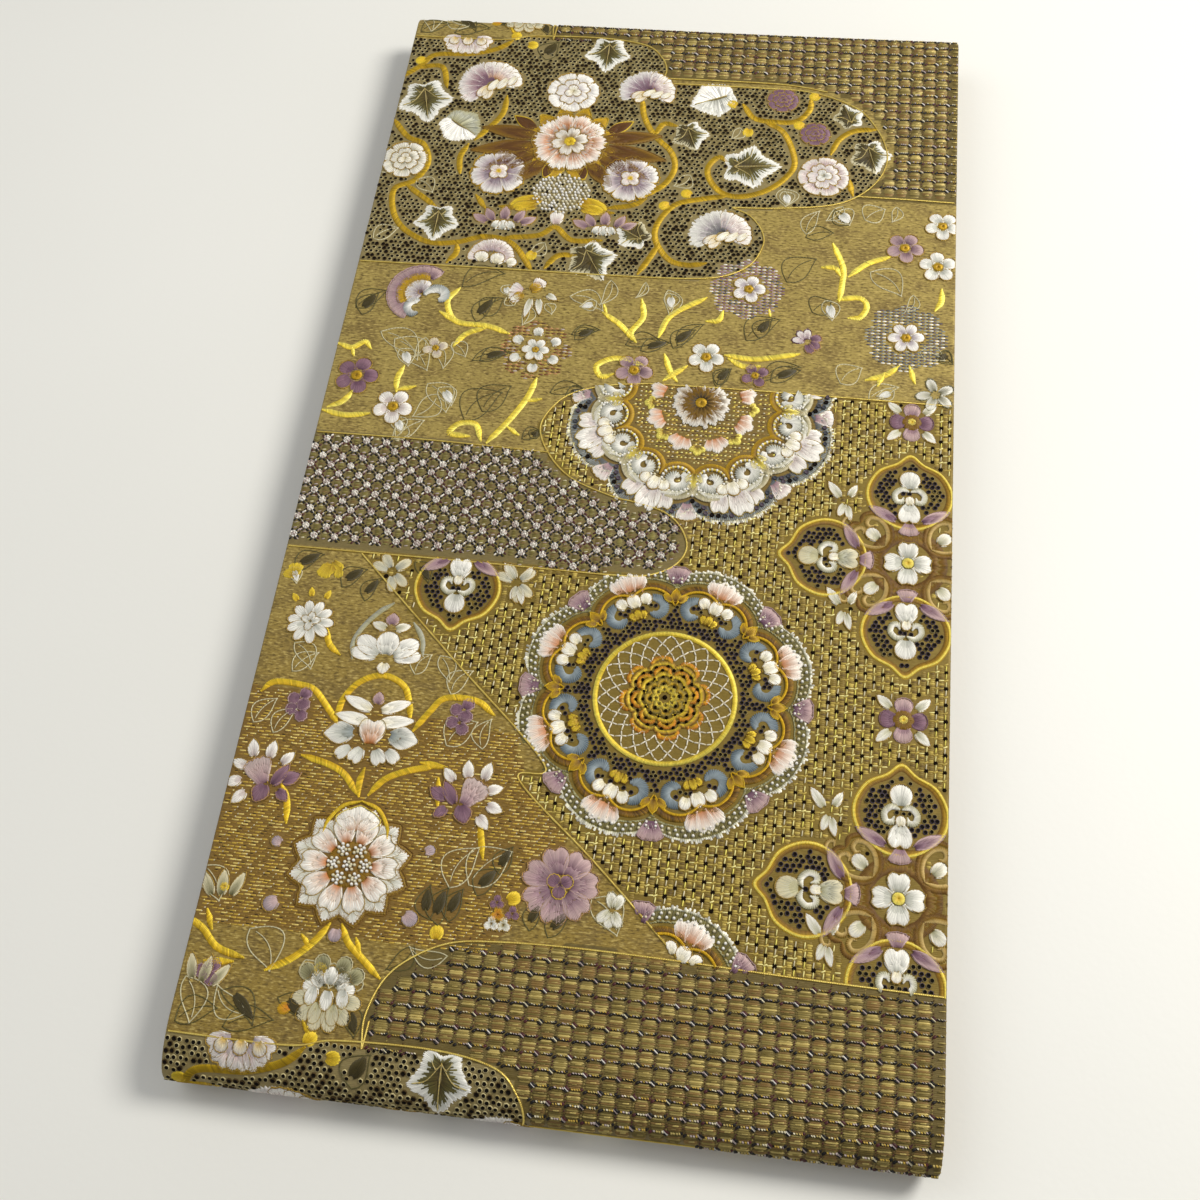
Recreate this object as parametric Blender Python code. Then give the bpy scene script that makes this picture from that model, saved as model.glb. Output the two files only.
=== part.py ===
"""A fukuro obi sash, folded in half three times and lying flat on a surface.

The sash is a long flat tube of two cloths, an embroidered face and a plain back, joined along both long
edges. Folded it makes a pack of eight layers, and one stretch of it goes all the way round the pack: up
round the far bend, along the top, down round the front fold, back along the underside and up round a low
bend. That stretch is two cloth walls, one inside the other. The six layers inside are one solid, with
grooves between the layers along every edge.

Frame: X across the sash, Y from the front fold to the far bends, Z up, origin under the pack's middle.
Every wall lies between two depths, measured inwards from the outside of the turn that it goes round.
"""

import math
from collections import namedtuple

import bmesh
import bpy

# Driving sizes, in metres.
WIDTH = 0.310  # across the sash
FOLDED_LENGTH = 0.5955  # from the front fold to the far bend
LAYER_PITCH = 0.0031  # one layer: face, core and back
LAYER_COUNT = 8
FACE_WALL = 0.0016  # the face cloth with its embroidery
BACK_WALL = 0.0009
SEAM_GAP = 0.0003  # left between neighbouring pieces
HALF_GROOVE = 0.0003  # half of the groove between two hidden layers

PACK_HEIGHT = LAYER_COUNT * LAYER_PITCH
PACK_HALF = PACK_HEIGHT / 2

# The turns: how far each reaches past its centre.
FRONT_REACH = 0.026  # the front fold, round all eight layers
HIGH_BEND_REACH = 0.008  # the far bend that joins layers 1 and 4, with 2 and 3 inside it
LOW_BEND_REACH = LAYER_PITCH  # the far bend that joins layers 8 and 7
LOW_BEND_RECESS = 0.0020  # the low bend stops short of the high one
TUCK = 0.007  # how far the outer stretch goes back in between the layers
FREE_END_RECESS = {5: 0.0065, 6: 0.0035}  # the two closed ends of the sash, by layer

# The long edges.
EDGE_ROUND = 0.0010  # over which a wall thins towards its long edge
EDGE_THINNING = 0.45  # the share of its thickness left there
HIDDEN_WIDTH = WIDTH - 0.0018
BACK_INSET = 0.0003  # the back cloth's edges lie this far inside the face's
LAYER_SHIFT = {2: 0.0004, 3: -0.0007, 4: 0.0003, 5: -0.0006, 6: 0.0006, 7: -0.0004}  # sideways

# The block that joins the hidden layers, set in from their edges.
CORE_SIDE_INSET = 0.007
CORE_FAR_INSET = 0.018
CORE_SKIN = 0.0003  # how far it stays inside the outermost hidden layer

# The soft swells of the pack's upper surface: height, and cycles across and along.
Swell = namedtuple("Swell", "height across along phase")
SWELLS = [
    Swell(0.00035, 0.5, 1.0, 0.4),
    Swell(0.00025, 1.0, 2.0, 2.1),
    Swell(0.00015, 1.5, 3.5, 4.0),
]

# How finely the walls are divided.
ACROSS_STEPS = 8
RUN_STEPS = 12
FRONT_STEPS = 12
BEND_STEPS = 8
END_ROUNDING = [(0.0, 0.35), (0.35, 0.80), (1.0, 1.0)]  # share of the rounding, share of the thickness

FRONT_CENTRE = -FOLDED_LENGTH / 2 + FRONT_REACH
HIGH_CENTRE = FOLDED_LENGTH / 2 - HIGH_BEND_REACH
LOW_CENTRE = FOLDED_LENGTH / 2 - LOW_BEND_RECESS - LOW_BEND_REACH
UP, DOWN = 90, -90  # the angles of a turn where its upper and its lower run begin

# A turn that cloth goes round: its middle height, half its height, its reach and its centre along Y.
Turn = namedtuple("Turn", "middle half reach centre way")
FRONT = Turn(PACK_HALF, PACK_HALF, FRONT_REACH, FRONT_CENTRE, -1)
HIGH_BEND = Turn(PACK_HEIGHT - 2 * LAYER_PITCH, 2 * LAYER_PITCH, HIGH_BEND_REACH, HIGH_CENTRE, 1)
LOW_BEND = Turn(LAYER_PITCH, LAYER_PITCH, LOW_BEND_REACH, LOW_CENTRE, 1)

# One cross-line of a wall: where it is on a turn, its two depths there and its sideways shift.
Station = namedtuple("Station", "turn centre angle first second shift")


def around(turn, start, first, second, steps, shift=0.0):
    """Stations round a turn, from the run at angle start to the other run."""
    return [
        Station(turn, turn.centre, start - 2 * start * i / steps, first, second, shift) for i in range(steps + 1)
    ]


def along(turn, angle, y_from, y_to, first, second, steps=RUN_STEPS, shift=0.0):
    """Stations along a straight run, without its two ends."""
    places = [y_from + (y_to - y_from) * i / steps for i in range(1, steps)]
    return [Station(turn, y, angle, first, second, shift) for y in places]


def rounded_start(turn, angle, y_end, towards, first, second, shift=0.0):
    """Stations of a wall's rounded end: it is thin at y_end, and whole half a thickness further on."""
    middle, half = (first + second) / 2, (second - first) / 2
    return [
        Station(turn, y_end + towards * abs(half) * s, angle, middle - half * t, middle + half * t, shift)
        for s, t in END_ROUNDING
    ]


def blend_shifts(stations):
    """Lets the sideways shift pass smoothly from one layer to the next."""
    shifts = [s.shift for s in stations]
    for _ in range(6):
        inner = [(a + 2 * b + c) / 4 for a, b, c in zip(shifts, shifts[1:], shifts[2:])]
        shifts = [shifts[0], *inner, shifts[-1]]
    return [s._replace(shift=x) for s, x in zip(stations, shifts)]


def outer_stretch(first, second):
    """The stretch that shows, between two depths: from its tucked end on layer 4 to the one on layer 7."""
    tucked_high, tucked_low = HIGH_CENTRE - TUCK, LOW_CENTRE - TUCK
    low_end = rounded_start(LOW_BEND, UP, tucked_low, 1, first, second)
    return [
        *rounded_start(HIGH_BEND, DOWN, tucked_high, 1, first, second),
        *around(HIGH_BEND, DOWN, first, second, BEND_STEPS),
        *along(FRONT, UP, HIGH_CENTRE, FRONT_CENTRE, first, second),
        *around(FRONT, UP, first, second, FRONT_STEPS),
        *along(FRONT, DOWN, FRONT_CENTRE, LOW_CENTRE, first, second),
        *around(LOW_BEND, DOWN, first, second, BEND_STEPS),
        *reversed(low_end),
    ]


def layer_depths(layer):
    """The two depths of a hidden layer, the outer one first. Layers 1 to 4 count down, 5 to 8 up again."""
    place = min(layer, LAYER_COUNT + 1 - layer)
    return (place - 1) * LAYER_PITCH + HALF_GROOVE, place * LAYER_PITCH - HALF_GROOVE


def layers_7_2_3_6():
    """One hidden stretch: under, round the front, over, round the far bend, and once more inside."""
    out, deep = layer_depths(7)
    deep_in, out_in = reversed(layer_depths(3))
    low_end = LOW_CENTRE - TUCK - SEAM_GAP
    free_end = FOLDED_LENGTH / 2 - FREE_END_RECESS[6]
    shift = LAYER_SHIFT
    return blend_shifts(
        [
            *rounded_start(FRONT, DOWN, low_end, -1, out, deep, shift[7]),
            *along(FRONT, DOWN, low_end, FRONT_CENTRE, out, deep, shift=shift[7]),
            *around(FRONT, DOWN, out, deep, FRONT_STEPS, shift[7]),
            *along(FRONT, UP, FRONT_CENTRE, HIGH_CENTRE, out, deep, shift=shift[2]),
            *around(HIGH_BEND, UP, out, deep, BEND_STEPS, shift[2]),
            *along(FRONT, UP, HIGH_CENTRE, FRONT_CENTRE, deep_in, out_in, shift=shift[3]),
            *around(FRONT, UP, deep_in, out_in, FRONT_STEPS, shift[3]),
            *along(FRONT, DOWN, FRONT_CENTRE, free_end, deep_in, out_in, shift=shift[6]),
            *reversed(rounded_start(FRONT, DOWN, free_end, -1, deep_in, out_in, shift[6])),
        ]
    )


def layers_4_5():
    """The innermost stretch: from the tucked end on layer 4 round the front to the free end of layer 5."""
    out, deep = layer_depths(4)
    high_end = HIGH_CENTRE - TUCK - SEAM_GAP
    free_end = FOLDED_LENGTH / 2 - FREE_END_RECESS[5]
    return blend_shifts(
        [
            *rounded_start(FRONT, UP, high_end, -1, out, deep, LAYER_SHIFT[4]),
            *along(FRONT, UP, high_end, FRONT_CENTRE, out, deep, shift=LAYER_SHIFT[4]),
            *around(FRONT, UP, out, deep, FRONT_STEPS, LAYER_SHIFT[4]),
            *along(FRONT, DOWN, FRONT_CENTRE, free_end, out, deep, shift=LAYER_SHIFT[5]),
            *reversed(rounded_start(FRONT, DOWN, free_end, -1, out, deep, LAYER_SHIFT[5])),
        ]
    )


def swell(x, y):
    """How much the pack's top rises at a place."""
    turns = 2 * math.pi
    return sum(
        s.height * math.cos(turns * s.across * x / WIDTH + s.phase) * math.cos(turns * s.along * y / FOLDED_LENGTH)
        for s in SWELLS
    )


def settle(x, y, z):
    """Moves a point of the plain pack to where it lies: the underside stays flat and the top swells."""
    return x, y, z * (1 + swell(x, y) / PACK_HEIGHT)


def section_point(station, depth):
    """The place of a station at a depth, as (y, z)."""
    angle = math.radians(station.angle)
    turn = station.turn
    return (
        station.centre + turn.way * (turn.reach - depth) * math.cos(angle),
        turn.middle + (turn.half - depth) * math.sin(angle),
    )


def across_stations(width, round_over):
    """Places across a wall of that width, as (x, share of the thickness there)."""
    inner = width / 2 - round_over
    middle = [(-inner + 2 * inner * i / ACROSS_STEPS, 1.0) for i in range(ACROSS_STEPS + 1)]
    return [(-width / 2, EDGE_THINNING), *middle, (width / 2, EDGE_THINNING)]


def skin_rings(rings, cap):
    """A closed mesh over rings of points, with its two ends filled by cap(bm, ring)."""
    bm = bmesh.new()
    rows = [[bm.verts.new(p) for p in ring] for ring in rings]
    for near, far in zip(rows, rows[1:]):
        for i in range(len(near)):
            j = (i + 1) % len(near)
            bm.faces.new((near[i], near[j], far[j], far[i]))
    cap(bm, rows[0])
    cap(bm, rows[-1])
    bmesh.ops.recalc_face_normals(bm, faces=bm.faces)
    return bm


def ladder_cap(bm, ring):
    """Fills a thin ring whose two long sides have the same number of points."""
    last = len(ring) - 1
    for i in range(len(ring) // 2 - 1):
        bm.faces.new((ring[i], ring[i + 1], ring[last - i - 1], ring[last - i]))


def flat_cap(bm, ring):
    """Fills a plain convex ring."""
    bm.faces.new(ring)


def cloth_wall(name, stations, width, collection):
    """A wall of cloth along the stations: one closed ring of points for each place across the sash."""
    rings = []
    for x, share in across_stations(width, EDGE_ROUND):
        outer, inner = [], []
        for s in stations:
            middle, half = (s.first + s.second) / 2, (s.second - s.first) / 2 * share
            outer.append(settle(x + s.shift, *section_point(s, middle - half)))
            inner.append(settle(x + s.shift, *section_point(s, middle + half)))
        rings.append(outer + inner[::-1])
    return new_object(name, skin_rings(rings, ladder_cap), collection)


def core_block(name, collection):
    """The block inside the hidden layers that joins them into one solid."""
    depth = layer_depths(2)[0] + CORE_SKIN
    far = FOLDED_LENGTH / 2 - CORE_FAR_INSET
    stations = [
        Station(FRONT, far, UP, depth, depth, 0),
        *along(FRONT, UP, far, FRONT_CENTRE, depth, depth),
        *around(FRONT, UP, depth, depth, FRONT_STEPS),
        *along(FRONT, DOWN, FRONT_CENTRE, far, depth, depth),
        Station(FRONT, far, DOWN, depth, depth, 0),
    ]
    half = WIDTH / 2 - CORE_SIDE_INSET
    places = [-half + 2 * half * i / ACROSS_STEPS for i in range(ACROSS_STEPS + 1)]
    rings = [[settle(x, *section_point(s, depth)) for s in stations] for x in places]
    return new_object(name, skin_rings(rings, flat_cap), collection)


def new_object(name, bm, collection):
    """A mesh object from a finished bmesh, in a collection."""
    mesh = bpy.data.meshes.new(name)
    bm.to_mesh(mesh)
    bm.free()
    obj = bpy.data.objects.new(name, mesh)
    collection.objects.link(obj)
    return obj


def smooth(obj):
    obj.data.shade_smooth()
    obj.data.set_sharp_from_angle(angle=math.radians(40))


def cloth_material(name, colour, roughness):
    material = bpy.data.materials.new(name)
    material.use_nodes = True
    shader = material.node_tree.nodes["Principled BSDF"]
    shader.inputs["Base Color"].default_value = (*colour, 1)
    shader.inputs["Roughness"].default_value = roughness
    shader.inputs["Metallic"].default_value = 0.0
    return material


def add_to(target, helper):
    """Joins a helper's solid into the target's. The helper itself isn't part of the sash."""
    join = target.modifiers.new(f"join_{helper.name}", "BOOLEAN")
    join.operation = "UNION"
    join.solver = "EXACT"
    join.object = helper
    helper.hide_render = True
    helper.display_type = "WIRE"


def clear_scene():
    for obj in list(bpy.data.objects):
        bpy.data.objects.remove(obj)


def new_collection(name):
    collection = bpy.data.collections.new(name)
    bpy.context.scene.collection.children.link(collection)
    return collection


def build():
    clear_scene()
    sash = new_collection("obi_sash")
    helpers = new_collection("helpers")

    face = cloth_wall("face_cloth", outer_stretch(0.0, FACE_WALL), WIDTH, sash)
    face.data.materials.append(cloth_material("gold_embroidered_silk", (0.36, 0.27, 0.11), 0.5))

    back_depth = FACE_WALL + SEAM_GAP
    back = cloth_wall("back_cloth", outer_stretch(back_depth, back_depth + BACK_WALL), WIDTH - 2 * BACK_INSET, sash)
    back.data.materials.append(cloth_material("plain_gold_silk", (0.42, 0.33, 0.17), 0.55))

    inner = cloth_wall("inner_folds", layers_7_2_3_6(), HIDDEN_WIDTH, sash)
    inner.data.materials.append(cloth_material("folded_gold_silk", (0.33, 0.25, 0.11), 0.6))
    add_to(inner, cloth_wall("innermost_layers", layers_4_5(), HIDDEN_WIDTH, helpers))
    add_to(inner, core_block("core_block", helpers))

    for obj in (face, back, inner):
        smooth(obj)


build()
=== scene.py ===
"""An embroidered obi sash, folded to a flat pack: its cloth, its stitching and a stage to see it on.

The embroidery is laid out flat, in millimetres, on the unfolded cloth: u runs across the sash, v runs along
it and is the same as Y on the pack's top, and h is the height above the cloth. Everything stitched is made
flat and then folded round the pack with the cloth. The design repeats every REPEAT along the cloth.
"""

import math

import bpy
import numpy as np
from bpy.props import FloatProperty, FloatVectorProperty, PointerProperty
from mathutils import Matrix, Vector


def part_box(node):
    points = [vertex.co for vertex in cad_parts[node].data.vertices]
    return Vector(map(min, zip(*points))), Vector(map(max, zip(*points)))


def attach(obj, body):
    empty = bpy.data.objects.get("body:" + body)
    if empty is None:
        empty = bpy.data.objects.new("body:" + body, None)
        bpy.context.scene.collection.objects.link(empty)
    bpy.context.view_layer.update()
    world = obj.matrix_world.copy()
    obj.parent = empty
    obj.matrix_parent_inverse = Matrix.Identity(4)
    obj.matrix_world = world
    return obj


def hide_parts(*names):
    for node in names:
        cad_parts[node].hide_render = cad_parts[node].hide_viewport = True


bl_info = {
    "name": "Embroidered Obi Sash",
    "version": (1, 0, 0),
    "blender": (4, 5, 0),
    "location": "3D View > Sidebar > Obi Sash",
    "description": "Makes the cloth and the embroidery of a folded obi sash, piece by piece",
    "category": "Add Mesh",
}

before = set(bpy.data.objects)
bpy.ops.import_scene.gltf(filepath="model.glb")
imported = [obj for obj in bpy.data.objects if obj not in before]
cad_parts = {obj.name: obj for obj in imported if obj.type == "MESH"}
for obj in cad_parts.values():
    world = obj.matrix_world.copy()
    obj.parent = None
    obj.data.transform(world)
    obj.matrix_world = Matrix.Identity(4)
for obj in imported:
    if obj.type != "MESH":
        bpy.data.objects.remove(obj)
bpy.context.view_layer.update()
FACE_LOW, FACE_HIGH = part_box("face_cloth")

# The folded pack, in millimetres. Its layers go round the front in one turn and round the far end in two.
MM = 0.001
HALF_WIDTH = (FACE_HIGH.x - FACE_LOW.x) / 2 / MM
HALF_LENGTH = (FACE_HIGH.y - FACE_LOW.y) / 2 / MM
LAYER_PITCH = 3.1
PACK_HEIGHT = 8 * LAYER_PITCH
FRONT_REACH, HIGH_REACH = 26.0, 8.0
LOW_BEND_INSET = 2.0
TUCK = 7.0  # how far the cloth goes in between the layers past a far bend
SWELLS = ((0.35, 0.5, 1.0, 0.4), (0.25, 1.0, 2.0, 2.1), (0.15, 1.5, 3.5, 4.0))  # height, across, along, phase

GROUND_DEPTH = 0.5  # the bare cloth lies this far under the pack's outside, and the stitches fill the rest
FACE_DEPTH = 1.6
BACK_DEPTHS = (1.9, 2.8)
BACK_INSET = 0.3
HEM = 1.0  # the cloth's edge that is left free of knots and rows

# The design along the cloth.
REPEAT = 560.0
STITCHED_FROM, STITCHED_TO = -322.0, 306.0  # past the front fold and round the far bend


# ---------------------------------------------------------------- the fold
def elliptic_turn(centre, middle, half, reach, steps=241):
    """An ellipse that the cloth goes round, with its angles from the upper run down and how far along each is."""
    angles = np.linspace(math.pi / 2, -math.pi / 2, steps)
    run = np.hypot(np.diff(reach * np.cos(angles)), np.diff(half * np.sin(angles)))
    arc = np.concatenate([[0.0], np.cumsum(run)])
    return {"centre": centre, "middle": middle, "half": half, "reach": reach, "angles": angles, "arc": arc}


FRONT = elliptic_turn(-HALF_LENGTH + FRONT_REACH, PACK_HEIGHT / 2, PACK_HEIGHT / 2, FRONT_REACH)
HIGH_BEND = elliptic_turn(HALF_LENGTH - HIGH_REACH, PACK_HEIGHT - 2 * LAYER_PITCH, 2 * LAYER_PITCH, HIGH_REACH)
LOW_BEND = elliptic_turn(HALF_LENGTH - LOW_BEND_INSET - LAYER_PITCH, LAYER_PITCH, LAYER_PITCH, LAYER_PITCH)
FRONT_CENTRE, HIGH_CENTRE = FRONT["centre"], HIGH_BEND["centre"]
UNDERSIDE_FROM = FRONT_CENTRE - FRONT["arc"][-1]
LOW_BEND_FROM = UNDERSIDE_FROM - (LOW_BEND["centre"] - FRONT_CENTRE)
CLOTH_FROM = LOW_BEND_FROM - LOW_BEND["arc"][-1] - TUCK
CLOTH_TO = HIGH_CENTRE + HIGH_BEND["arc"][-1] + TUCK


def ground_depth(v):
    """How deep the bare cloth lies under the outside: the stitches stand over it, but nothing does underneath."""
    share = np.clip((FRONT_CENTRE - v) / FRONT["arc"][-1] / 0.4 - 1.4, 0, 1)
    return GROUND_DEPTH * (1 - share * share * (3 - 2 * share))


def bend(turn, past, deep, facing=1, rising=1):
    """Where cloth lies that has gone some way past the start of a turn, and that deep inside it."""
    angle = rising * np.interp(past, turn["arc"], turn["angles"])
    tucked = np.maximum(past - turn["arc"][-1], 0)
    y = turn["centre"] + facing * (turn["reach"] - deep) * np.cos(angle) - facing * tucked
    return y, turn["middle"] + (turn["half"] - deep) * np.sin(angle)


def fold(flat):
    """Takes flat cloth points (across, along, height) to where they lie on the pack, in metres."""
    u, v, h = np.asarray(flat, float).reshape(-1, 3).T
    deep = ground_depth(v) - h
    front, under, low, high = FRONT_CENTRE - v, UNDERSIDE_FROM - v, LOW_BEND_FROM - v, v - HIGH_CENTRE
    runs = (
        (low > 0, *bend(LOW_BEND, low, deep, rising=-1)),
        (under > 0, FRONT_CENTRE + under, deep),
        (front > 0, *bend(FRONT, front, deep, facing=-1)),
        (high > 0, *bend(HIGH_BEND, high, deep)),
    )
    shown, y, z = zip(*runs)
    y, z = np.select(shown, y, v), np.select(shown, z, PACK_HEIGHT - deep)
    swell = sum(
        height * np.cos(math.pi * across * u / HALF_WIDTH + phase) * np.cos(math.pi * along * y / HALF_LENGTH)
        for height, across, along, phase in SWELLS
    )
    return np.stack([u, y, z * (1 + swell / PACK_HEIGHT)], 1) * MM


# ---------------------------------------------------------------- small helpers
def pts(*flat):
    """Points from a plain run of numbers, given as numbers or as text."""
    return np.array(" ".join(map(str, flat)).split(), float).reshape(-1, 2)


def numbers(text):
    """Rows of numbers from a text, with a comma between the rows."""
    return [[float(x) for x in row.split()] for row in text.split(",")]


def length(vectors):
    """The length of each row of a list of flat vectors."""
    return np.hypot(*vectors.T)


def smooth(points, step=1.0, closed=False):
    """An even row of points along a smooth line through the given ones."""
    p = np.asarray(points, float)
    ring = np.vstack([p[-1], p, p[:2]]) if closed else np.vstack([2 * p[0] - p[1], p, 2 * p[-1] - p[-2]])
    t = np.linspace(0, 1, 24, endpoint=False)[:, None]
    rows = [
        b + 0.5 * t * (c - a + t * (2 * a - 5 * b + 4 * c - d + t * (3 * (b - c) + d - a)))
        for a, b, c, d in zip(ring, ring[1:], ring[2:], ring[3:])
    ]
    return evenly(np.vstack([*rows, ring[-2]]), step)


def evenly(line, step=None, count=None):
    """The same line with its points evenly spaced."""
    line = np.asarray(line, float)
    run = np.concatenate([[0.0], np.cumsum(length(np.diff(line, axis=0)))])
    count = count or max(2, int(round(run[-1] / step)) + 1)
    at = np.linspace(0, run[-1], count)
    return np.stack([np.interp(at, run, line[:, k]) for k in (0, 1)], 1)


def spin(points, turn):
    """Points turned about the origin, by radians."""
    c, s = math.cos(turn), math.sin(turn)
    return np.asarray(points, float) @ np.array([[c, s], [-s, c]])


def polar(angle, radius):
    """Points at angles (radians) and radii."""
    return np.stack([radius * np.cos(angle), radius * np.sin(angle)], -1)


def inside(polygon, points):
    """Which points lie inside a closed outline."""
    start, end = polygon, np.roll(polygon, -1, 0)
    rise = end[:, 1] - start[:, 1]
    slope = (end[:, 0] - start[:, 0]) / np.where(rise == 0, 1e-9, rise)
    hits = []
    for part in np.array_split(np.asarray(points, float).reshape(-1, 2), len(points) // 4000 + 1):
        x, y = part[:, :1], part[:, 1:]
        crosses = (start[:, 1] > y) != (end[:, 1] > y)
        hits.append(np.sum(crosses & (x < slope * (y - start[:, 1]) + start[:, 0]), 1) % 2 == 1)
    return np.concatenate(hits)


def colour(code):
    """A linear colour from a hex code."""
    raw = np.array([int(code[i : i + 2], 16) for i in (0, 2, 4)]) / 255
    return np.where(raw <= 0.04045, raw / 12.92, ((raw + 0.055) / 1.055) ** 2.4)


def blend(stops, t):
    """Colours at shares t along evenly spaced stops."""
    stops = np.asarray(stops, float).reshape(-1, 3)
    at = np.linspace(0, 1, len(stops)) if len(stops) > 1 else np.array([0.0])
    return np.stack([np.interp(t, at, stops[:, k]) for k in range(3)], -1)


# ---------------------------------------------------------------- threads
# One of these threads is painted shade: the darker edge of each cloud vine.
# One of these threads is painted shade: the near-black in the pit of each French knot.
# One of these threads is painted shade: the near-black of eyelets, of holes and of the gaps in the fillings.
THREADS = """
white fbf7ec  cream e4d9b4  peach c8905e  orange c4741c  brown 5e3a12  rust 74431f  mauve 93707c  pink cdb1aa
plum 69485a  lilac aa9ca2  steel 87908f  storm 66757e  mist 9fa9ab  slate 4a4b50  wine 4a1f1e  dark 18110b
hole 0e0905  ash b3b3a4  olive 6a6434  sage aca77e  moss 453b16  umber 4a3c14  lemon f8ea72  yellow ecce38
gold cfa61a  vine c29f16  vine_dim a88616  bronze 8e6b14  edge 7a5a1c  brass c6a548  scroll d3b876
knot_rim c2b484  knot_dim 96875a  dusk 5a5058  knot_dark 4a3a20  knot_pit 0e0803  hatch 928045  hatch_dim 70602d
hatch_warm 866a39  straw bda862  snow f0e9dc  blush c2b0a8  pad 70642e  pad_warm 7a6236  pad_pale 8f8446
net_gold f6ea9c  net_dim c4ac54  loop_pad 917a38  loop_dim 6c5727  line_pale e6cc74  line_gold caa844
line_dim 94742e  line_dark 553c16
""".split()
DYE = {name: colour(code) for name, code in zip(THREADS[::2], THREADS[1::2])}


def dyes(words):
    """Linear colours of the threads named in a plain list of words."""
    return np.array([DYE[w] for w in words.split()])


class Hoop:
    """Remembers which parts of the cloth are already stitched over."""

    CELL = 0.5
    MARGIN = 4  # cells beyond the cloth's edge

    def __init__(self):
        across = int(2 * HALF_WIDTH / self.CELL) + 2 * self.MARGIN
        self.filled = np.zeros((across, int(REPEAT / self.CELL)), bool)

    def cells(self, points):
        u, v = np.asarray(points, float).reshape(-1, 2).T
        i = np.clip(((u + HALF_WIDTH) / self.CELL).astype(int) + self.MARGIN, 0, self.filled.shape[0] - 1)
        return i, (np.floor(v / self.CELL).astype(int)) % self.filled.shape[1]

    def mark(self, points, reach=0.6):
        steps = np.arange(-int(reach / self.CELL), int(reach / self.CELL) + 1)
        for du in steps:
            for dv in steps:
                self.filled[self.cells(points + np.array([du, dv]) * self.CELL)] = True

    def free(self, points):
        return ~self.filled[self.cells(points)]


hoop = Hoop()


def copies(points, other):
    """Points with their copies one repeat either way, kept where the cloth is stitched. The other rows follow."""
    moved = np.concatenate([points + (0, shift, 0) for shift in (0.0, -REPEAT, REPEAT)])
    keep = (moved[:, 1] > STITCHED_FROM) & (moved[:, 1] < STITCHED_TO)
    return moved[keep], np.concatenate([other] * 3)[keep]


class Needle:
    """Collects the stitches of one piece. Each goes from one place to another and covers the cloth there."""

    def __init__(self, seed, marks=True, within=None):
        self.rng = np.random.default_rng(seed)
        self.marks, self.within = marks, within
        self.rows = []

    def at(self, *place):
        return Spot(self, *place)

    def lay(self, a, b, stops, width=0.6, rise=0.35, lift=0.0, gilt=0.0, longest=7.0, vary=0.08, first=0.0):
        """Stitches from points a to points b, coloured along by the stops, and pieced where they are long."""
        a, b = (np.atleast_2d(np.asarray(p, float)) for p in (a, b))
        a, b = np.broadcast_arrays(a, b)
        span = length(b - a)
        keep = (span > 0.25) & (np.abs((a + b)[:, 0]) / 2 < HALF_WIDTH + 1)
        a, b, span = a[keep], b[keep], span[keep]
        if not len(a):
            return
        limit = HALF_WIDTH - 0.3
        slope = np.where(np.abs(b[:, :1] - a[:, :1]) > 1e-6, (b - a) / (b[:, :1] - a[:, :1] + 1e-9), 0)
        a, b = (
            np.where(np.abs(p[:, :1]) > limit, p + slope * (np.clip(p[:, :1], -limit, limit) - p[:, :1]), p)
            for p in (a, b)
        )
        parts = max(1, math.ceil(float(np.median(span)) / longest))
        shade = 1 + vary * np.clip(self.rng.normal(size=(len(a), 1)), -2, 2)
        shake = self.rng.uniform(-0.3, 0.3, (parts + 1, len(a), 1)) / parts
        shake[[0, -1]] = 0
        for k in range(parts):
            t0, t1 = k / parts + shake[k] - 0.03 * (k > 0), (k + 1) / parts + shake[k + 1]
            start, end = a + (b - a) * t0, a + (b - a) * t1
            tints = [blend(stops, first + (1 - first) * t[:, 0]) * shade for t in (t0, t1)]
            self.add(start, end, *tints, width, rise, lift, gilt)

    def add(self, a, b, tint_a, tint_b, width, rise, lift, gilt):
        """Stitches just as given. Each row is u, v, lift, angle, span, width, rise, gilt and two tints."""
        single = [np.broadcast_to(np.asarray(x, float).reshape(-1), (len(a),)) for x in (lift, width, rise, gilt)]
        if self.within:
            keep = self.within((a + b) / 2)
            a, b, tint_a, tint_b, *single = (x[keep] for x in (a, b, tint_a, tint_b, *single))
            if not len(a):
                return
        lift, *single = single
        run = b - a
        span = length(run)
        angle = np.arctan2(run[:, 1], run[:, 0])
        self.rows.append(np.column_stack([(a + b) / 2, lift, angle, span, *single, tint_a, tint_b]))
        if self.marks:
            steps = np.linspace(0, 1, max(2, int(span.max() / 0.6) + 1))[:, None, None]
            hoop.mark((a + (b - a) * steps).reshape(-1, 2))

    def line(self, points, stops, width=0.5, step=1.6, rise=0.4, lift=0.25):
        """A thin couched line of short stitches, end to end."""
        row = smooth(points, step)
        run = row[1:] - row[:-1]
        self.lay(row[:-1] - run * 0.3, row[1:] + run * 0.4, stops, width, rise, lift)


def satin(needle, rail_a, rail_b, stops, pitch, **how):
    """Stitches side by side from one rail to the other."""
    wide = max(length(np.diff(rail, axis=0)).sum() for rail in (rail_a, rail_b))
    count = max(3, int(wide / pitch))
    needle.lay(evenly(rail_a, count=count), evenly(rail_b, count=count), stops, width=wide / count * 1.3, **how)


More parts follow.
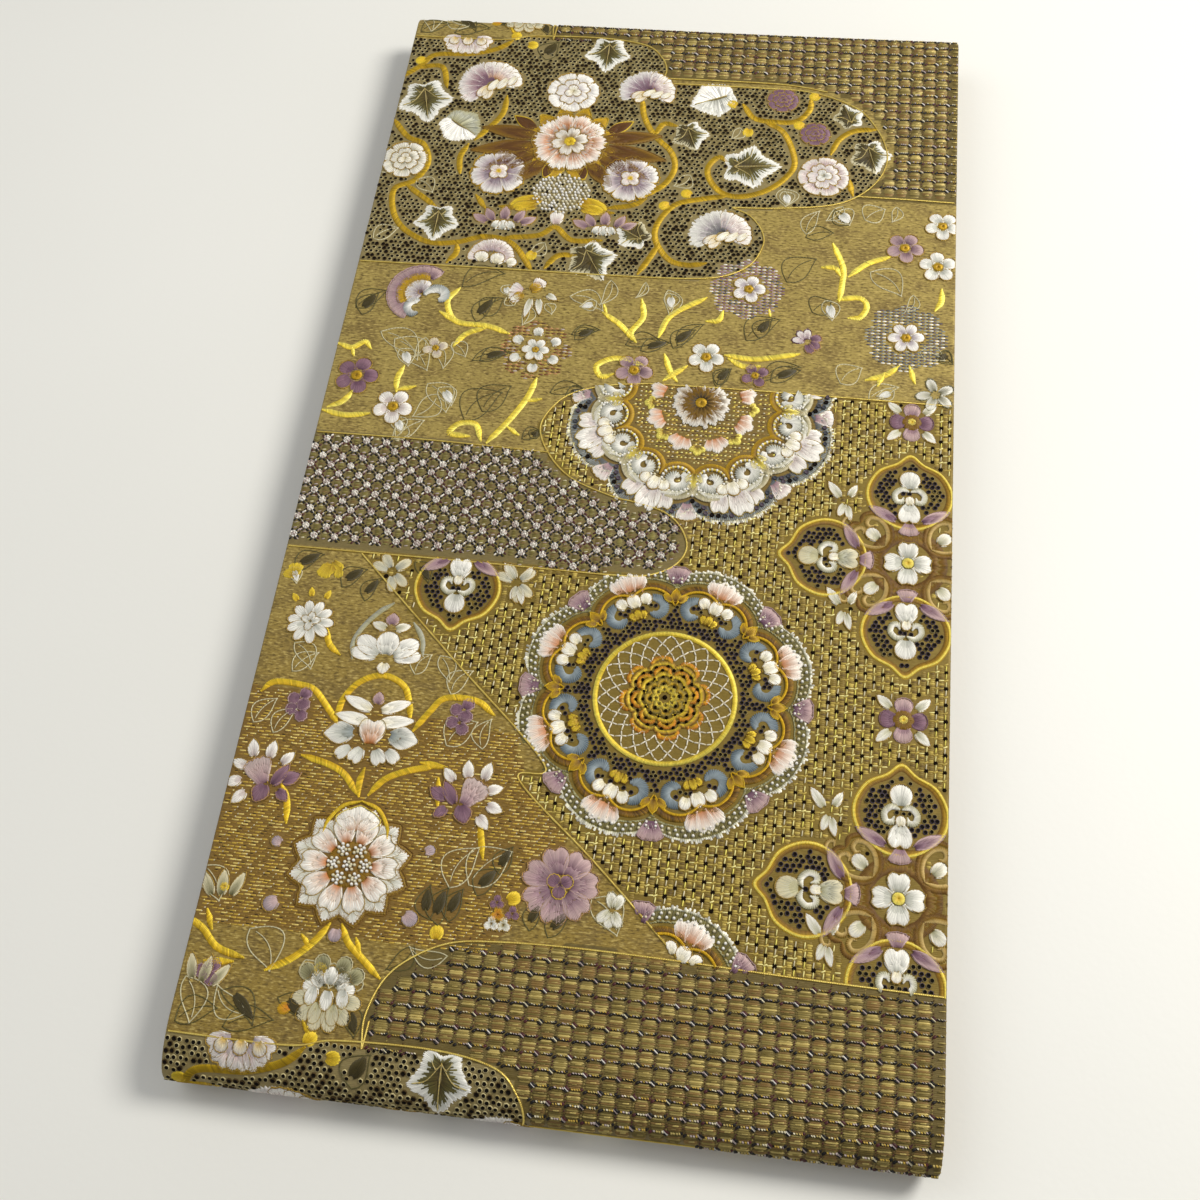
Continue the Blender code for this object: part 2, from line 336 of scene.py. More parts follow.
def ribbon(needle, path, width, stops, pitch=0.68, slant=0.5, taper=5.0, lift=0.1, rise=0.55, **how):
    """Satin laid aslant across a path, narrowing towards both ends. Its stops run across it, from one edge to the
    other: thread colours that also paint shade and highlight across the ribbon, to make it look rounded.
    """
    line = smooth(path, pitch)
    run = np.gradient(line, axis=0)
    run /= length(run)[:, None] + 1e-9
    side = np.stack([-run[:, 1], run[:, 0]], 1)
    at = np.arange(len(line)) * pitch
    wide = width * np.clip(0.3 + 0.75 * np.minimum(at, at[::-1]) / taper, 0.3, 1)[:, None]
    left, right = line + side * wide / 2 - run * slant * wide / 2, line - side * wide / 2 + run * slant * wide / 2
    needle.lay(left, right, stops, width=pitch * 1.45, rise=rise, lift=lift, **how)


# Half of each petal's rim, from its root to its tip: shares of its length and of half its width.
RIMS = {
    "round": pts("0.03 0.3 0.22 0.78 0.52 1 0.82 0.8 0.96 0.38 1 0"),
    "point": pts("0.02 0.25 0.2 0.75 0.46 1 0.72 0.72 0.9 0.3 1 0"),
    "fan": pts("0.25 0.5 0.62 0.95 0.85 1 0.9 0.74 0.99 0.55 0.95 0.32 1 0.12 1 0"),
    "heart": pts("0.05 0.35 0.4 0.88 0.72 1 0.95 0.7 1 0.4 0.92 0.12 0.88 0"),
    "slim": pts("0.02 0.3 0.3 0.95 0.6 0.95 0.85 0.5 1 0"),
}
PETAL_PITCH = 0.78
INNER_ROW = 0.34  # every other stitch of a petal starts this far out


def petal(
    needle, root, aim, size, stops, rim, neck=0.35, edge="edge brass", lift=0.1, rise=0.6, ragged=0.0, **how
):
    """A petal of long and short stitches that fan from its root to its rim, with a thin gold line round it, whose
    darker gold also paints the shade between petals.
    """
    long, wide = size
    half = RIMS[rim] * (long, wide / 2)
    line = smooth(np.vstack([half * (1, -1), half[-2::-1]]), PETAL_PITCH)
    share = np.linspace(-1, 1, len(line))
    base = np.stack([np.full(len(line), 0.02 * long), share * neck * wide / 2], 1)
    rim_ends = base + (line - base) * (1 - ragged * needle.rng.random((len(line), 1)))
    odd = np.arange(len(line)) % 2 == 1
    for pick, first in ((~odd, 0.0), (odd, INNER_ROW)):
        ends = [spin(p[pick], aim) + root for p in (base + (line - base) * first, rim_ends)]
        needle.lay(*ends, stops, width=1.06, lift=lift, rise=rise, first=first, **how)
    if edge:
        outline = spin(np.vstack([base[:1], line, base[-1:]]), aim) + root
        needle.line(outline, dyes(edge), width=0.42, rise=0.5, lift=lift + 0.12, step=1.9)


# ---------------------------------------------------------------- node helpers
class Wire:
    """A socket that adds Math nodes when it is used in sums."""

    def __init__(self, tree, socket):
        self.tree, self.socket = tree, socket


def _sum(operation, flipped=False):
    def apply(self, other):
        pair = (other, self) if flipped else (self, other)
        return self.tree.node("ShaderNodeMath", {"operation": operation}, dict(enumerate(pair)))

    return apply


for _name, _operation in (("add", "ADD"), ("sub", "SUBTRACT"), ("mul", "MULTIPLY")):
    setattr(Wire, f"__{_name}__", _sum(_operation))
    setattr(Wire, f"__r{_name}__", _sum(_operation, True))


class Tree:
    """A node tree being built. node() adds any node: its settings come first, then its sockets."""

    def __init__(self, tree):
        self.tree = tree

    def node(self, kind, settings=(), sockets=(), out=0):
        node = self.tree.nodes.new(kind)
        for name, value in dict(settings).items():
            setattr(node, name, value)
        for key, value in dict(sockets).items():
            self.join(value, node.inputs[key])
        return Wire(self, node.outputs[out])

    def join(self, value, socket):
        """Sets a socket to a plain value, or links a wire to it."""
        if isinstance(value, Wire):
            self.tree.links.new(value.socket, socket)
        else:
            socket.default_value = value

    def place(self):
        """Where each point is on its object."""
        return self.node("ShaderNodeTexCoord", out=3)

    def attribute(self, name, out="Fac"):
        return self.node("ShaderNodeAttribute", {"attribute_name": name}, out=out)

    def tinted(self, value):
        """The stitch's own tint, made lighter or darker."""
        return self.node("ShaderNodeHueSaturation", {}, {"Color": self.attribute("tint", "Color"), "Value": value})

    def mix(self, factor, a, b):
        """Colour a turning to colour b. Each is a wire, a linear colour or a hex code."""
        a, b = ((*(colour(v) if isinstance(v, str) else v), 1) if not isinstance(v, Wire) else v for v in (a, b))
        return self.node("ShaderNodeMix", {"data_type": "RGBA", "blend_type": "MIX"}, {0: factor, 6: a, 7: b}, out=2)

    def noise(self, vector, scale, detail=2.0, roughness=0.5):
        sockets = {"Vector": vector, "Scale": scale, "Detail": detail, "Roughness": roughness}
        return self.node("ShaderNodeTexNoise", {}, sockets)

    def stretched_noise(self, vector, scale, detail=2.0, roughness=0.5):
        """Noise that is finer or coarser along each axis."""
        scaled = self.node("ShaderNodeMapping", {}, {"Vector": vector, "Rotation": (0, 0, 0), "Scale": scale})
        return self.noise(scaled, 1.0, detail, roughness)

    def wave(self, vector, direction, scale, distortion, **more):
        sockets = {"Vector": vector, "Scale": scale, "Distortion": distortion, **more}
        return self.node("ShaderNodeTexWave", {"bands_direction": direction}, sockets)

    def step(self, value, low, high):
        """0 below low, 1 above high, smooth between."""
        settings = {"interpolation_type": "SMOOTHSTEP"}
        return self.node("ShaderNodeMapRange", settings, {"Value": value, "From Min": low, "From Max": high})

    def bump(self, strength, distance, height):
        return self.node("ShaderNodeBump", {}, {"Strength": strength, "Distance": distance, "Height": height})


def finish(**fixed):
    """Makes a function that paints a tree into one that gives its material, which is made once and found again.

    The function gives the Principled sockets that vary, and fixed gives the rest."""

    def wrap(paint):
        def material(*given, name=paint.__name__):
            if found := bpy.data.materials.get(name):
                return found
            made = bpy.data.materials.new(name)
            made.use_nodes = True
            tree, shader = Tree(made.node_tree), made.node_tree.nodes["Principled BSDF"]
            for socket, value in fixed.items():
                shader.inputs[socket.replace("_", " ")].default_value = value
            for socket, value in paint(tree, *given).items():
                tree.join(value, shader.inputs[socket])
            return made

        return material

    return wrap


# ---------------------------------------------------------------- geometry trees
def new_mesh(name, vertices, faces=(), edges=()):
    mesh = bpy.data.meshes.new(name)
    mesh.from_pydata([tuple(map(float, v)) for v in vertices], list(edges), list(faces))
    return mesh


def new_object(name, data):
    obj = bpy.data.objects.new(name, data)
    bpy.context.scene.collection.objects.link(obj)
    return obj


def write_attribute(mesh, name, values, kind="FLOAT"):
    values = np.asarray(values, np.float32)
    if kind == "FLOAT_COLOR":
        values = np.column_stack([values, np.ones(len(values), np.float32)])
    attribute = mesh.attributes.new(name, kind, "POINT")
    attribute.data.foreach_set("color" if kind == "FLOAT_COLOR" else "value", values.ravel())


def read_attribute(mesh, name, field, wide):
    data = mesh.attributes[name].data
    out = np.zeros(len(data) * wide, np.float32)
    data.foreach_get(field, out)
    return out.reshape(-1, wide)


def write_uvs(mesh, places):
    """Gives each corner of a mesh the place that its vertex has in a list."""
    corners = np.zeros(len(mesh.loops), np.int32)
    mesh.loops.foreach_get("vertex_index", corners)
    layer = mesh.uv_layers.new(name="UVMap")
    layer.data.foreach_set("uv", np.asarray(places)[corners].astype(np.float32).ravel())


def geometry_group(name, sockets):
    """An empty geometry tree with a geometry input and output and the named inputs."""
    group = bpy.data.node_groups.new(name, "GeometryNodeTree")
    group.interface.new_socket("Geometry", in_out="INPUT", socket_type="NodeSocketGeometry")
    for label, (kind, default) in sockets.items():
        socket = group.interface.new_socket(label, in_out="INPUT", socket_type=f"NodeSocket{kind}")
        if default is not None:
            socket.default_value = default
    group.interface.new_socket("Geometry", in_out="OUTPUT", socket_type="NodeSocketGeometry")
    tree = Tree(group)
    source = group.nodes.new("NodeGroupInput")
    return tree, {item.name: Wire(tree, item) for item in source.outputs if item.name}


def named(tree, name):
    return tree.node("GeometryNodeInputNamedAttribute", {"data_type": "FLOAT"}, {"Name": name})


def close_group(tree, geometry, material):
    """Ends a geometry tree in Realize Instances and Set Material."""
    geometry = tree.node("GeometryNodeRealizeInstances", {}, {"Geometry": geometry})
    geometry = tree.node("GeometryNodeSetMaterial", {}, {"Geometry": geometry, "Material": material})
    out = tree.tree.nodes.new("NodeGroupOutput")
    tree.join(geometry, out.inputs[0])
    return tree.tree


def stitch_group():
    """Puts one stitch or knot on each point, turned, stretched and raised as the point says."""
    if group := bpy.data.node_groups.get("stitches"):
        return group
    inputs = {"Stitch": ("Object", None), "Thickness": ("Float", 1.0), "Height": ("Float", 1.0)}
    tree, given = geometry_group("stitches", {**inputs, "Finish": ("Material", None)})
    shape = tree.node("GeometryNodeObjectInfo", {"transform_space": "ORIGINAL"}, {"Object": given["Stitch"]}, out=4)
    turn = tree.node("ShaderNodeCombineXYZ", {}, {"Z": named(tree, "angle")})
    wide, high = named(tree, "width") * given["Thickness"], named(tree, "rise") * given["Height"]
    size = tree.node("ShaderNodeCombineXYZ", {}, {"X": named(tree, "span"), "Y": wide, "Z": high})
    sockets = {"Points": given["Geometry"], "Instance": shape, "Rotation": turn, "Scale": size}
    return close_group(tree, tree.node("GeometryNodeInstanceOnPoints", {}, sockets), given["Finish"])


def cord_group():
    """Runs a round cord along every line, as thick as the points say."""
    if group := bpy.data.node_groups.get("cords"):
        return group
    tree, given = geometry_group("cords", {"Sides": ("Int", 6), "Finish": ("Material", None)})
    line = tree.node("GeometryNodeMeshToCurve", {}, {"Mesh": given["Geometry"]})
    ring = tree.node("GeometryNodeCurvePrimitiveCircle", {}, {"Resolution": given["Sides"], "Radius": 1.0})
    sockets = {"Curve": line, "Profile Curve": ring, "Scale": named(tree, "radius"), "Fill Caps": True}
    return close_group(tree, tree.node("GeometryNodeCurveToMesh", {}, sockets), given["Finish"])


def evaluate(obj, group, inputs):
    """Runs a geometry tree on an object and gives the plain mesh that it makes."""
    modifier = obj.modifiers.new(group.name, "NODES")
    modifier.node_group = group
    for item in group.interface.items_tree:
        if item.in_out == "INPUT" and item.name in inputs:
            modifier[item.identifier] = inputs[item.name]
    bpy.context.view_layer.update()
    graph = bpy.context.evaluated_depsgraph_get()
    mesh = bpy.data.meshes.new_from_object(obj.evaluated_get(graph), preserve_all_data_layers=True, depsgraph=graph)
    source = obj.data
    obj.modifiers.remove(modifier)
    obj.data = mesh
    bpy.data.meshes.remove(source)
    return mesh


def fold_mesh(mesh, mapping=fold):
    """Takes a flat mesh to where it lies on the pack."""
    flat = np.zeros(len(mesh.vertices) * 3, np.float32)
    mesh.vertices.foreach_get("co", flat)
    mesh.vertices.foreach_set("co", mapping(flat.reshape(-1, 3)).astype(np.float32).ravel())
    mesh.shade_smooth()
    mesh.update()


def hidden_shape(name, vertices, faces, along):
    """A shape that stitches are made from, kept out of the scene itself, with how far along it each vertex is."""
    mesh = new_mesh(name, vertices, faces)
    write_attribute(mesh, "along", along)
    shape = bpy.data.objects.new(name, mesh)
    shape.use_fake_user = True
    return shape


def thread_shape():
    """One stitch, a unit long, wide and high: a rounded ridge that dips into the cloth at both pointed ends."""
    if found := bpy.data.objects.get("thread_shape"):
        return found
    vertices = [(x, side / 2, -0.5 if side else 0.95) for x in (-0.34, 0.34) for side in (-1, 0, 1)]
    vertices += [(-0.5, 0, -0.5), (0.5, 0, -0.5)]
    faces = [(0, 3, 4, 1), (1, 4, 5, 2), (6, 0, 1), (6, 1, 2), (3, 7, 4), (4, 7, 5)]
    shape = hidden_shape("thread_shape", vertices, faces, [x + 0.5 for x, _, _ in vertices])
    write_uvs(shape.data, [(x + 0.5, y + 0.5) for x, y, _ in vertices])
    return shape


def turned_shape(name, rings, tip, sides=6):
    """A small form turned from rings of radius, height, turn and share of the tint, closed at a tip."""
    if found := bpy.data.objects.get(name):
        return found
    vertices = [(*polar(math.tau * (k + turn) / sides, r), z) for r, z, turn, _ in rings for k in range(sides)]
    along = [share for *_, share in rings for _ in range(sides)]
    faces = []
    for low in range(0, len(vertices) - sides, sides):
        for k in range(sides):
            after = (k + 1) % sides
            faces.append((low + k, low + after, low + sides + after, low + sides + k))
    top = len(vertices) - sides
    faces += [(top + k, top + (k + 1) % sides, len(vertices)) for k in range(sides)]
    return hidden_shape(name, [*vertices, (0, 0, tip)], faces, [*along, 1.0])


def knot_shape():
    """A French knot: a round bead with a pit in the middle, its tint darkened to painted shade in the pit and a little
    at its foot.
    """
    rings = ((0.5, -0.3, 0, 0.3), (0.46, 0.55, 0, 0.0), (0.395, 0.72, 0, 0.15), (0.35, 0.5, 0, 1.0))
    return turned_shape("knot_shape", rings, 0.1)


def bead_shape():
    """A small round pearl of thread, its tint running from its foot to its top, so that its foot can be painted in
    shade.
    """
    return turned_shape("bead_shape", ((0.5, -0.3, 0, 0.0), (0.38, 0.7, 0.5, 0.6)), 1.0)


def dress(obj):
    """Makes a finished piece ride on the sash."""
    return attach(obj, "root")


def sew(name, needle, shape=thread_shape, thread=None, mapping=fold, repeat=True):
    """Turns a needle's stitches into one folded piece."""
    rows = np.concatenate(needle.rows)
    rows = rows[np.abs(rows[:, 0]) + np.abs(np.cos(rows[:, 3])) * rows[:, 4] / 2 < HALF_WIDTH + 0.1]
    place, rows = copies(rows[:, :3], rows) if repeat else (rows[:, :3], rows)
    mesh = new_mesh(name, place)
    labels = ("angle", "span", "width", "rise", "gilt")
    for label, column in zip(labels, rows[:, 3:8].T):
        write_attribute(mesh, label, column)
    write_attribute(mesh, "tint_a", rows[:, 8:11], "FLOAT_COLOR")
    write_attribute(mesh, "tint_b", rows[:, 11:14], "FLOAT_COLOR")
    sizes = bpy.context.scene.obi_stitches
    inputs = {"Stitch": shape(), "Thickness": sizes.thickness, "Height": sizes.height}
    obj = new_object(name, mesh)
    mesh = evaluate(obj, stitch_group(), {**inputs, "Finish": thread or silk_thread()})
    along = read_attribute(mesh, "along", "value", 1)
    start, end = (read_attribute(mesh, label, "color", 4)[:, :3] for label in ("tint_a", "tint_b"))
    write_attribute(mesh, "tint", start * (1 - along) + end * along, "FLOAT_COLOR")
    for label in ("along", "tint_a", "tint_b", *labels[:-1]):
        if label in mesh.attributes:
            mesh.attributes.remove(mesh.attributes[label])
    fold_mesh(mesh, mapping)
    return dress(obj)


# ---------------------------------------------------------------- the layout of the cloth
EDGE = HALF_WIDTH + 4.0
CLOUD_TOP = smooth(pts(-EDGE, "280 -105 280 -85 284 -45 285 -20 281 -10 272 -6.5 262 -9 252"))
CLOUD_MIDDLE = smooth(
    pts("-9 252 10 252.5 45 252.5 75 251 100 241 112 226 118 208 115 192 104 178 88 170 60 166 38 165")
)
CLOUD_LOW = smooth(pts("38 165 48 160 55 150 56 140 50 127 37 119 18 116 -20 115 -90 115", -EDGE, 114.5))
BAND_TOP = smooth(pts("103 177.5 130 177.5", EDGE, 177))
STAR_TOP = smooth(pts(-EDGE, "7 -100 7 -38 5.5"))
BULGE = smooth(pts("6 49.5 -12 47 -28 42 -38 34 -44 20 -38 5 -25 -8 -5 -16 5 -18"))
STAR_END = smooth(pts("5 -18 20 -22 29 -29 33.5 -40 29 -50 17 -56.5 0 -58 -60 -57.5", -EDGE, -57))
MESH_TOP = smooth(pts("6 49.5 60 50", EDGE, 49))
DIAGONAL = smooth(pts("-118 -58 -68 -105 -18 -152 -28 -160 10 -193.5 49 -229.5"))
BASKET_END = smooth(
    pts("-74 -278 -75 -265 -70 -250 -60 -240 -45 -232.5 -25 -230 5 -229 49 -229.5 100 -231", EDGE, -232)
)
BASKET_HEM = smooth(pts("-73 293 -73.5 286 -74 282"))
CLOUD_STEM = smooth(pts("-9 256 20 256.5 60 256 84 252"))
CORD_LINES = (
    *(CLOUD_TOP, CLOUD_MIDDLE, CLOUD_LOW, BAND_TOP, STAR_TOP, BULGE, STAR_END, MESH_TOP, DIAGONAL, BASKET_END),
    *(BASKET_HEM, CLOUD_STEM),
)

CLOUD = np.vstack([CLOUD_TOP, CLOUD_MIDDLE, CLOUD_LOW])
STARS = np.vstack([STAR_TOP, BULGE[np.argmin(length(BULGE - (-38, 5))) :], STAR_END])
MEDALLION_FIELD = np.vstack([BULGE, pts("33 -60 110 -20 110 49.5")])
BASKET_BACK = BASKET_END[::-1][:-1]
MESH_CORNER = pts(EDGE, -232)
MESH = np.vstack(
    [MESH_TOP, MESH_CORNER, BASKET_BACK[BASKET_BACK[:, 0] > 49], DIAGONAL[::-1], STAR_END[:60][::-1], BULGE[::-1]]
)
BASKET_LOW = np.vstack([BASKET_END, pts(EDGE, -278.1)])
CLOUD_BACK = CLOUD_MIDDLE[::-1]
BASKET_TOP = np.vstack(
    [
        pts(EDGE, 282, EDGE, "177 103 177.5"),
        CLOUD_BACK[CLOUD_BACK[:, 1] > 177.5] + (3, 3),
        CLOUD_TOP[::-1][:-40],
        pts("-74 282"),
    ]
)
LOTUS_GROUND = np.vstack([pts(-EDGE, "-128 -32 -139"), DIAGONAL[-110:-70], pts("-30 -236", -EDGE, -236)])
MEDALLIONS = pts("33.5 38.5 31 -116 31 -272")
SHELL_REACH = 70
DESIGN_FROM = -278.0


def zone_weights(points):
    """Which ground the cloth has at each place, as one number for each kind of ground."""
    p = np.array(points, float)
    p[:, 1] = (p[:, 1] - DESIGN_FROM) % REPEAT + DESIGN_FROM
    cloud, stars = inside(CLOUD, p), inside(STARS, p)
    basket = (inside(BASKET_TOP, p) & ~cloud) | inside(BASKET_LOW, p)
    medallion = inside(MEDALLION_FIELD, p) & ~stars & (length(p - MEDALLIONS[0]) < SHELL_REACH)
    mesh = inside(MESH, p) & ~stars & ~medallion & ~basket
    lotus = inside(LOTUS_GROUND, p) & ~mesh & ~basket
    stitched = (points[:, 1] > STITCHED_FROM) & (points[:, 1] < STITCHED_TO)
    zones = {"cloud": cloud, "stars": stars, "basket": basket, "medallion": medallion, "mesh": mesh, "lotus": lotus}
    return {name: zone & stitched for name, zone in zones.items()}


def mesh_field(points):
    """Where the mesh field lies bare, between the star filling, the diagonal and the near basket."""
    return inside(MESH, points) & ~inside(STARS, points) & ~inside(BASKET_LOW, points)


def net_field(points):
    """The mesh field outside the shell medallion."""
    away = points - MEDALLIONS[0]
    return mesh_field(points) & (length(away) > scallop(56.0, 66.0, -22.5)(bearings(away)))


def shell_field(points):
    """Where the shell medallion shows: under the line that ends the band and beside the star filling."""
    return (points[:, 1] < 49.2) & inside(MEDALLION_FIELD, points) & ~inside(STARS, points)


def bearings(vectors):
    """The angle of each row of a list of flat vectors."""
    return np.arctan2(vectors[:, 1], vectors[:, 0])


def scallop(low, high, start=22.5):
    """The radius of an eight-lobed rim, highest in the middle of each lobe."""
    return lambda angle: low + (high - low) * np.abs(np.cos((angle - math.radians(start)) * 4)) ** 0.55


# ---------------------------------------------------------------- finishes
@finish(Specular_IOR_Level=0.35)
def silk_thread(tree):
    """Embroidery thread: each stitch has its own tint, a fine twist and, where it is gilt, a metal shine."""
    strand = tree.stretched_noise(tree.node("ShaderNodeTexCoord", out=2), (2.5, 9.0, 1.0))
    gilt = tree.attribute("gilt")
    shade, fine = tree.tinted(0.66 + strand * 0.68), tree.bump(0.6, 0.00012, strand)
    return {"Base Color": shade, "Roughness": 0.5 - gilt * 0.15, "Metallic": gilt, "Normal": fine}


@finish(Specular_IOR_Level=0.12)
def knot_thread(tree):
    """The dull wound thread of the knots."""
    fuzz = tree.noise(tree.place(), 1800.0)
    shade, wound = tree.tinted(0.7 + fuzz * 0.6), tree.bump(0.5, 0.0001, fuzz)
    return {"Base Color": shade, "Roughness": 0.85 - fuzz * 0.1, "Normal": wound}


@finish(Specular_IOR_Level=0.05)
def dark_hole(tree):
    """Painted shade inside an eyelet or a hole: a near-black that gives back next to no light."""
    fuzz = tree.noise(tree.place(), 1500.0)
    return {"Base Color": tree.mix(fuzz, "080504", "21170c"), "Roughness": 0.85 + fuzz * 0.1}


@finish(Metallic=0.6)
def gold_cord(tree):
    """Gilt cord: a thread of gold strip wound round silk, with the wrap showing along it."""
    place = tree.place()
    wear = tree.noise(place, 260.0, 3.0)
    twist = tree.bump(0.6, 0.00012, tree.wave(place, "DIAGONAL", 900.0, 1.5))
    return {"Base Color": tree.mix(wear, "c09a34", "f3df7c"), "Roughness": 0.3 + wear * 0.2, "Normal": twist}


GROUND_ZONES = (("cloud", "stars", "mesh"), ("basket", "medallion", "lotus"))  # the parts of two colour attributes
GROUND_DYES = dict(
    cloud="8f8055", stars="75673f", mesh="77621f", basket="5f5128", medallion="77602c", lotus="7a5c24"
)


@finish(Specular_IOR_Level=0.35)
def ground_cloth(tree):
    """The woven ground: brushed gold that changes from zone to zone, with its weave."""
    flat = tree.node("ShaderNodeUVMap", {"uv_map": "UVMap"})
    part = {}
    for label, zones in zip(("ground_a", "ground_b"), GROUND_ZONES):
        split = tree.node("ShaderNodeSeparateColor", {}, {"Color": tree.attribute(label, "Color")})
        part.update(zip(zones, (Wire(tree, out) for out in split.socket.node.outputs)))
    brushed = tree.stretched_noise(flat, (150.0, 900.0, 1.0), 5.0, 0.7)
    blotch = tree.stretched_noise(flat, (60.0, 90.0, 1.0), 4.0, 0.6)
    speck = tree.stretched_noise(flat, (420.0, 1100.0, 1.0), 3.0)
    dye = bpy.context.scene.obi_cloth
    along = tree.node("ShaderNodeSeparateXYZ", {}, {"Vector": flat}, out=1)
    bare = tree.mix(tree.step(along, -0.16, 0.02), dye.ground_near, dye.ground_far)
    worn = tree.step(brushed * 0.55 + blotch * 0.6, 0.53, 0.66)
    bare = tree.mix(worn * 0.8, bare, dye.ground_worn)
    bare = tree.mix(tree.step(brushed * 0.5 + speck * 0.55, 0.54, 0.64) * 0.65, bare, "cdb468")
    bare = tree.mix(tree.step(brushed * 0.45 + speck * 0.55, 0.48, 0.4) * 0.75, bare, "57451f")
    for zone, code in GROUND_DYES.items():
        bare = tree.mix(tree.step(part[zone], 0.35, 0.65) * 0.85, bare, code)
    warp = tree.wave(flat, "X", 900.0, 3.0)
    weft = tree.wave(flat, "Y", 420.0, 2.0, **{"Detail Scale": 6.0})
    rib = tree.bump(0.5, 0.0002, warp * 0.15 + weft * 0.35 + brushed * 0.5 + speck * 0.5)
    return {"Base Color": bare, "Roughness": 0.45 + worn * 0.2, "Metallic": 0.3 - worn * 0.2, "Normal": rib}


@finish(Sheen_Weight=0.15)
def plain_silk(tree, low, high):
    """Plain gold silk for the sides of the sash that carry no stitching."""
    place = tree.place()
    layer = tree.stretched_noise(place, (30.0, 60.0, 900.0), 4.0, 0.6)
    slub = tree.stretched_noise(place, (1200.0, 160.0, 1200.0), 3.0)
    shade = tree.mix(tree.step(layer * 0.6 + slub * 0.4, 0.35, 0.68), low, high)
    ribs = tree.bump(0.5, 0.00015, tree.wave(place, "Y", 520.0, 0.6) * 0.5 + slub)
    return {"Base Color": shade, "Roughness": 0.5 + slub * 0.15, "Metallic": 0.25 + layer * 0.2, "Normal": ribs}


# ---------------------------------------------------------------- the cloths
def cloth_rows(fine):
    """Places along the cloth: close together where it shows and bends, far apart on the underside."""
    high, front = HIGH_CENTRE - 2, FRONT_CENTRE + 2
    return np.concatenate(
        [
            np.arange(CLOTH_TO, high, -1.5),
            np.arange(high - fine, front, -fine),
            np.linspace(front, UNDERSIDE_FROM, 28),
            np.arange(UNDERSIDE_FROM - 6, LOW_BEND_FROM + 6, -12.0),
            np.linspace(LOW_BEND_FROM + 3, CLOTH_FROM, 12),
        ]
    )


def cloth_shell(name, half_width, depths, fine):
    """A closed wall of cloth between two depths, round the whole stretch that shows, rounded along its edges."""
    outer, inner = depths
    thick = inner - outer
    middle = np.arange(-half_width + 1.0, half_width - 1.0, fine)
    columns = np.array([-half_width, -half_width + 0.3, *middle, half_width - 1.0, half_width - 0.3, half_width])
    drop = np.array([0.32, 0.1, *[0.0] * (len(columns) - 4), 0.1, 0.32]) * thick
    v = cloth_rows(fine)
    n, m = len(columns), len(v)
    u_grid, v_grid = np.meshgrid(columns, v)
    end = np.zeros(m)
    end[[0, -1]] = 0.3 * thick
    deep = ground_depth(v_grid)
    top = np.minimum(deep - outer, 0) - drop[None, :] - end[:, None]
    low = deep - inner + drop[None, :] + end[:, None]
    flat = np.concatenate([np.stack([u_grid.ravel(), v_grid.ravel(), h.ravel()], 1) for h in (top, low)])
    under = n * m
    faces = []
    for i in range(m - 1):
        for a in range(i * n, i * n + n - 1):
            b, c, d = a + 1, a + n + 1, a + n
            faces += [(d, c, b, a), (a + under, b + under, c + under, d + under)]
    rims = [pair for i in range(m - 1) for pair in ((i * n, (i + 1) * n), ((i + 2) * n - 1, (i + 1) * n - 1))]
    rims += [pair for j in range(n - 1) for pair in ((j + 1, j), ((m - 1) * n + j, (m - 1) * n + j + 1))]
    faces += [(a, a + under, b + under, b) for a, b in rims]
    mesh = new_mesh(name, flat, faces)
    write_uvs(mesh, flat[:, :2] * MM)
    return new_object(name, mesh), flat


class OBI_OT_face_cloth(bpy.types.Operator):
    """Makes the woven ground that carries the embroidery"""

    bl_idname = "obi.face_cloth"
    bl_label = "Face cloth"

    def execute(self, context):
        obj, flat = cloth_shell("embroidered_face", HALF_WIDTH, (0.0, FACE_DEPTH), 3.8)
        weights = zone_weights(flat[:, :2])
        for label, zones in zip(("ground_a", "ground_b"), GROUND_ZONES):
            write_attribute(obj.data, label, np.stack([weights[z] for z in zones], 1), "FLOAT_COLOR")
        fold_mesh(obj.data)
        obj.data.materials.append(ground_cloth())
        dress(obj)
        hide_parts("face_cloth")
        return {"FINISHED"}


class OBI_OT_back_cloth(bpy.types.Operator):
    """Makes the plain cloth on the other side"""

    bl_idname = "obi.back_cloth"
    bl_label = "Back cloth"

    def execute(self, context):
        obj, _ = cloth_shell("plain_back", HALF_WIDTH - BACK_INSET, BACK_DEPTHS, 8.0)
        fold_mesh(obj.data)
        obj.data.materials.append(plain_silk("6d5226", "b09455", name="back_silk"))
        dress(obj)
        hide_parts("back_cloth")
        return {"FINISHED"}


class OBI_OT_inner_folds(bpy.types.Operator):
    """Gives the hidden layers their silk"""

    bl_idname = "obi.inner_folds"
    bl_label = "Inner folds"

    def execute(self, context):
        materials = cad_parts["inner_folds"].data.materials
        materials.clear()
        materials.append(plain_silk("4f3a1a", "9c7f43", name="folded_silk"))
        return {"FINISHED"}


